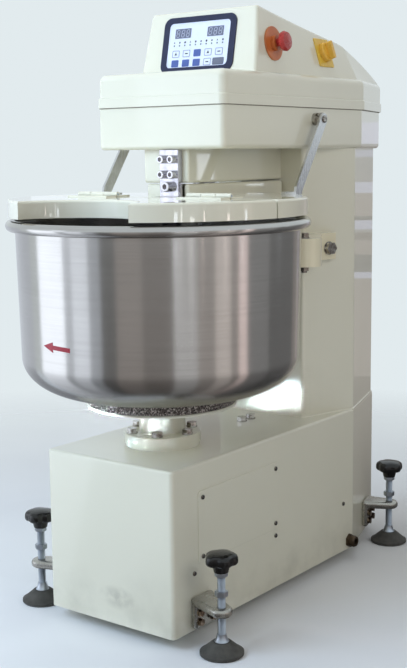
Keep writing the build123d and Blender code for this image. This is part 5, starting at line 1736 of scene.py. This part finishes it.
@dataclass
class Studio:
    """Floor, lights and the camera.

    Attributes:
        eye: Place of the camera.
        heading: Direction of view in plan, in degrees from +Y towards -X.
        dip: Downward angle of view in degrees.
        roll: Roll of the camera in degrees.
        focal: Focal length in pixels of the picture.
        picture_height: Height of the picture in pixels.
        sensor: Height of the camera's sensor in mm.
        lamps: The soft boxes.
        boards: The boards that show in reflections.
        rack: Foot, brightness and cast of each shelf of a rack behind the machine; the last is its top.
        rack_turn: Directions of the rack's edges from +X about the bowl axis, in degrees.
        backdrop: Colour of the backdrop.
        ambient: Colour of the light from all round.
        ambient_level: Its brightness.
        floor_reach: Radius of the floor.
        floor_fade: Distances from the bowl axis at which the floor starts to fade and is gone.
        board_floor: Distances of two points of a standing board on the floor.
        board_bend: Distance at which its bend starts, and the bend's radius.
        board_lift: Height of standing boards over the floor, in mm.
        board_fade: Height over which the top of a standing board fades into the backdrop.
        board_glow: Distances between which a standing board brightens, and its brightness there.
    """

    eye: tuple[float, float, float] = (1.4814, -2.0294, 0.9280)
    heading: float = 37.09
    dip: float = 8.634
    roll: float = -0.625
    focal: float = 1182.9
    picture_height: int = 668
    sensor: float = 36.0
    lamps: list[Lamp] = field(default_factory=lambda: [
        Lamp("key_box", (-0.7, -1.8, 1.75), (0.0, -0.2, 1.1), (1.3, 1.3), 33.0, (0.63, 0.80, 1.0)),
        Lamp("low_window", (-1.4, -2.4, 0.44), (0.0, -0.2, 0.36), (1.2, 0.5), 6.0, (0.76, 0.88, 1.0)),
        Lamp("head_box", (-0.9, -1.7, 1.35), (0.0, -0.2, 1.06), (0.8, 0.6), 0.5, (0.72, 0.84, 1.0), 60.0),
        Lamp("under_bowl", (-1.15, -2.2, 0.44), (0.1, 0.12, 0.42), (0.3, 0.06), 0.6, (0.66, 0.82, 1.0), 3.0),
        Lamp("left_window", (-2.6, -0.9, 1.5), (0.0, -0.1, 0.6), (1.4, 2.0), 22.0, (0.85, 0.94, 1.0)),
        Lamp("top_box", (-0.2, -0.1, 3.4), (0.0, 0.0, 0.8), (2.0, 2.0), 24.0, (0.93, 0.98, 1.0)),
        Lamp("right_fill", (1.75, -0.5, 1.4), (0.0, 0.0, 0.95), (1.0, 1.0), 7.2, (1.0, 0.97, 0.92)),
    ])
    boards: list[Board] = field(default_factory=lambda: [
        Board("far_left", 140.0, 190.0, 0.75, Tone.COOL),
        Board("window", 202.0, 231.0, 2.0, Tone.COOL),
        Board("window_bar", 231.0, 239.0, 0.8, Tone.COOL),
        Board("second_window", 239.0, 254.0, 1.3, Tone.COOL),
        Board("window_side", 254.0, 264.0, 0.62, Tone.COOL),
        Board("dark_gap", 264.0, 276.0, 0.2, Tone.PLAIN),
        Board("near_wall", 276.0, 296.0, 0.37, Tone.WARM),
        Board("eye_wall", 296.0, 319.0, 0.26, Tone.WARM),
        Board("right_wall", 319.0, 337.0, 0.65, Tone.PLAIN),
        Board("right_gap", 337.0, 351.0, 0.42, Tone.WARM),
        Board("strip", 351.0, 364.0, 0.78, Tone.WARM),
        Board("strip_gap", 364.0, 371.0, 0.38, Tone.WARM),
        Board("rose_strip", 371.0, 379.0, 1.0, Tone.ROSE),
        Board("rear_right", 379.0, 402.0, 0.29, Tone.PLAIN),
        Board("rear", 402.0, 440.0, 0.18, Tone.PLAIN),
        Board("rear_left", 440.0, 480.0, 0.28, Tone.WARM),
        Board("rear_bright", 480.0, 500.0, 1.1, Tone.COOL),
        Board("glint_a", 319.5, 322.0, 9.0, Tone.COOL, 0.66, 0.72),
        Board("glint_b", 324.0, 325.2, 9.0, Tone.PLAIN, 0.67, 0.73),
        Board("glint_c", 330.5, 333.5, 9.0, Tone.PLAIN, 0.66, 0.70),
        Board("glint_d", 340.0, 341.2, 9.0, Tone.ROSE, 0.66, 0.72),
        Board("glint_e", 357.5, 359.5, 9.0, Tone.ROSE, 0.67, 0.71),
        Board("glint_f", 372.0, 374.0, 9.0, Tone.COOL, 0.68, 0.72),
        Board("glint_g", 412.4, 413.9, 4.5, Tone.COOL, 0.80, 0.93),
        Board("low_dark", 475.0, 486.5, 0.25, Tone.WARM, 0.5, 0.8, 1.1),
        Board("high_pane", 229.0, 241.0, 2.0, Tone.COOL, 0.8, 1.3),
    ])
    rack: tuple[tuple[float, float, Tone], ...] = (
        (0.03, 0.42, Tone.WARM), (0.43, 0.72, Tone.LILAC), (0.455, 0.26, Tone.PLAIN),
        (0.525, 0.44, Tone.WARM), (0.583, 0.3, Tone.WARM), (0.614, 0.45, Tone.PLAIN),
        (0.626, 0.75, Tone.LILAC), (0.662, 0.25, Tone.PLAIN), (0.678, 0.45, Tone.WARM),
        (0.77, 0.78, Tone.LILAC), (0.813, 0.45, Tone.PLAIN), (0.911, 0.65, Tone.LILAC),
        (0.938, 0.42, Tone.PLAIN), (0.962, 0.95, Tone.LILAC), (1.045, 0.0, Tone.PLAIN),
    )
    rack_turn: tuple[float, float] = (448.5, 455.5)
    backdrop: tuple[float, float, float] = (0.76, 0.83, 0.855)
    ambient: tuple[float, float, float] = (0.96, 0.98, 1.0)
    ambient_level: float = 0.33
    floor_reach: float = 2.5
    floor_fade: tuple[float, float] = (0.9, 2.4)
    board_floor: tuple[float, float] = (0.25, 1.4)
    board_bend: tuple[float, float] = (2.6, 0.4)
    board_lift: float = 2.0
    board_fade: float = 0.25
    board_glow: tuple[float, float, float, float] = (0.4, 2.6, 0.35, 1.0)

    def build(self) -> None:
        """Sets the floor, the world, the lights and the camera."""
        bpy.context.scene.view_settings.view_transform = "Standard"
        self.floor()
        self.world()
        for lamp in self.lamps:
            self.lamp(lamp)
        for board in self.boards:
            self.board(board)
        for step, (shelf, above) in enumerate(zip(self.rack, self.rack[1:])):
            foot, level, tone = shelf
            self.board(Board(f"rack_{step}", *self.rack_turn, level, tone, foot, above[0]))
        self.camera()

    def set_piece(self, name: str, points: np.ndarray, material: bpy.types.Material) -> bpy.types.Object:
        """One grid surface of the set.

        Args:
            name: Name of the piece.
            points: Array of rows by columns by 3.
            material: Its material.

        Returns:
            The piece.
        """
        made = Surface().grid(points, wrap=False).placed(name, material)
        return made

    def floor(self) -> None:
        """Pale round floor that keeps the shadow and fades into the backdrop with distance."""
        shader = Shader("studio_floor")
        clouds = shader.spread(shader.noise(scale=1.5, detail=2.0), *NOISE_SPAN, 0.0, 1.0)
        shader.set(Base_Color=shader.mixed(clouds, Tint.FLOOR.linear, Tint.FLOOR_SHADE.linear), Roughness=0.6)
        shader.set(Alpha=shader.spread(shader.around(BOWL_AXIS)[0], *self.floor_fade, 1.0, 0.0))
        turn = np.linspace(0, 2 * np.pi, 65)
        reach = np.array([0.0, self.floor_reach])[:, None]
        points = np.stack([reach * np.cos(turn), reach * np.sin(turn), 0.0 * reach * turn], -1)
        self.set_piece("floor", BOWL_AXIS + points, shader.material)

    def world(self) -> None:
        """Even grey light from all round, and a paler backdrop for the camera and for reflections."""
        world = bpy.data.worlds.new("studio")
        bpy.context.scene.world = world
        world.use_nodes = True
        tree = world.node_tree
        tree.nodes.clear()
        out = tree.nodes.new("ShaderNodeOutputWorld")
        mix = tree.nodes.new("ShaderNodeMixShader")
        light, backdrop = (tree.nodes.new("ShaderNodeBackground") for _ in range(2))
        light.inputs["Color"].default_value = (*self.ambient, 1.0)
        light.inputs["Strength"].default_value = self.ambient_level
        backdrop.inputs["Color"].default_value = (*self.backdrop, 1.0)
        rays = tree.nodes.new("ShaderNodeLightPath")
        shown = rays.outputs["Is Camera Ray"]
        for kind in ("Is Glossy Ray", "Is Transmission Ray"):
            larger = tree.nodes.new("ShaderNodeMath")
            larger.operation = "MAXIMUM"
            tree.links.new(shown, larger.inputs[0])
            tree.links.new(rays.outputs[kind], larger.inputs[1])
            shown = larger.outputs[0]
        tree.links.new(shown, mix.inputs[0])
        tree.links.new(light.outputs[0], mix.inputs[1])
        tree.links.new(backdrop.outputs[0], mix.inputs[2])
        tree.links.new(mix.outputs[0], out.inputs["Surface"])

    def lamp(self, lamp: Lamp) -> None:
        """Hangs one soft box.

        Args:
            lamp: The soft box.
        """
        data = bpy.data.lights.new(lamp.name, "AREA")
        data.shape = "RECTANGLE"
        data.size, data.size_y = lamp.size
        data.energy = lamp.power
        data.color = lamp.colour
        data.spread = math.radians(lamp.spread)
        made = linked(lamp.name, data)
        made.location = lamp.spot
        made.rotation_euler = (Vector(lamp.aim) - Vector(lamp.spot)).to_track_quat("-Z", "Y").to_euler()
        made.visible_camera = made.visible_glossy = False

    def board(self, board: Board) -> None:
        """Sweeps one board round the bowl axis: along the floor, round a quarter bend and up, or only up.

        Args:
            board: The board.
        """
        if board.foot > 0.0:
            reach, height = np.full(2, board.reach), np.array([board.foot, board.top])
        else:
            start, radius = self.board_bend
            bend = np.linspace(-np.pi / 2, 0, 9)
            reach = np.concatenate([self.board_floor, start + radius * np.cos(bend), [start + radius]])
            height = np.concatenate([[0.0, 0.0], radius + radius * np.sin(bend), [board.top]])
            height += self.board_lift * MM
        turn = np.radians(np.linspace(board.start, board.end, 12))
        across = reach[:, None, None] * aims(turn)
        points = np.concatenate([across, np.repeat(height[:, None], len(turn), 1)[..., None]], -1)
        shader = Shader("board_" + board.name)
        distance, _, rise = shader.around(BOWL_AXIS)
        colour = (*(board.level * v for v in board.tone.value), 1.0)
        shader.set(Base_Color=(0.0, 0.0, 0.0, 1.0), Roughness=1.0, Specular_IOR_Level=0.0)
        if board.foot > 0.0:
            shader.set(Emission_Color=colour, Emission_Strength=1.0)
        else:
            fading = shader.spread(rise, board.top - self.board_fade, board.top, 0.0, 1.0)
            shader.set(Emission_Color=shader.mixed(fading, colour, (*self.backdrop, 1.0)))
            shader.set(Emission_Strength=shader.spread(distance, *self.board_glow))
        made = self.set_piece(board.name, BOWL_AXIS + points, shader.material)
        for rays in ("camera", "diffuse", "shadow", "transmission", "volume_scatter"):
            setattr(made, "visible_" + rays, False)

    def camera(self) -> None:
        """Camera at the picture's place: its axes from heading, dip and roll."""
        turn, dip, roll = (math.radians(v) for v in (self.heading, self.dip, self.roll))
        ahead = Vector((-math.sin(turn) * math.cos(dip), math.cos(turn) * math.cos(dip), -math.sin(dip)))
        right = Vector((math.cos(turn), math.sin(turn), 0.0))
        up = right.cross(ahead)
        level = right * math.cos(roll) + up * math.sin(roll)
        upright = up * math.cos(roll) - right * math.sin(roll)
        data = bpy.data.cameras.new("camera")
        data.sensor_fit = "VERTICAL"
        data.sensor_height = self.sensor
        data.lens = self.focal * self.sensor / self.picture_height
        made = linked("camera", data)
        axes = Matrix((level, upright, -ahead)).transposed().to_4x4()
        made.matrix_world = Matrix.Translation(self.eye) @ axes
        bpy.context.scene.camera = made


class Mixer:
    """The whole machine: the frame's nodes in their finishes, and the pieces added to them."""

    special: dict[str, Finish] = {
        "estop_plate": STOP_AMBER,
        "isolator_knob": KNOB_ORANGE,
        "hex_bolts": BOLT_STEEL,
        # Painted light on the roller arms.
        "roller_arms": PAINTED_LIGHT_IVORY,
        "roller_axles": SCREW_WORN,
        "panel_screws": SCREW_WORN,
        "breaker_bar": MIRROR_STEEL,
        "breaker_screws": SCREW_CHROME,
    }
    feet: dict[str, float] = {
        "front_left": 180.0, "front_right": 0.0, "rear_left": 162.35, "rear_right": 17.65
    }

    def __init__(self, frame: dict) -> None:
        """Keeps the loaded frame.
        """
        self.frame = frame
        self.slots = {part["node"]: part["material_slot"] for part in frame["record"]["subparts"]}

    def dress_nodes(self) -> None:
        """Gives every node its finish."""
        for name, node in self.frame["nodes"].items():
            finish = self.special.get(name, FINISHES[self.slots[name]])
            node.data.materials.clear()
            node.data.materials.append(material_of(finish))
            LOG.info("%s: %s", name, finish.name)

    def build(self) -> None:
        """Dresses the nodes and adds the pieces."""
        self.dress_nodes()
        for part in (Bowl(), ControlPanel(), Housings(), SmallFittings()):
            part.build()
        FootBrackets(self.feet).build()
        for corner, facing in self.feet.items():
            ScrewFoot(corner).build()
            StarKnob(corner, facing).build()


def corners(box: tuple[Vector, Vector]) -> list[list[float]]:
    """A box as plain lists of numbers."""
    return [list(corner) for corner in box]


def main() -> None:
    """Loads the frame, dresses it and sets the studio."""
    logging.basicConfig(level=logging.INFO, format="%(name)s: %(message)s")
    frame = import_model()
    Mixer(frame).build()
    Studio().build()


if __name__ == "__main__":
    main()
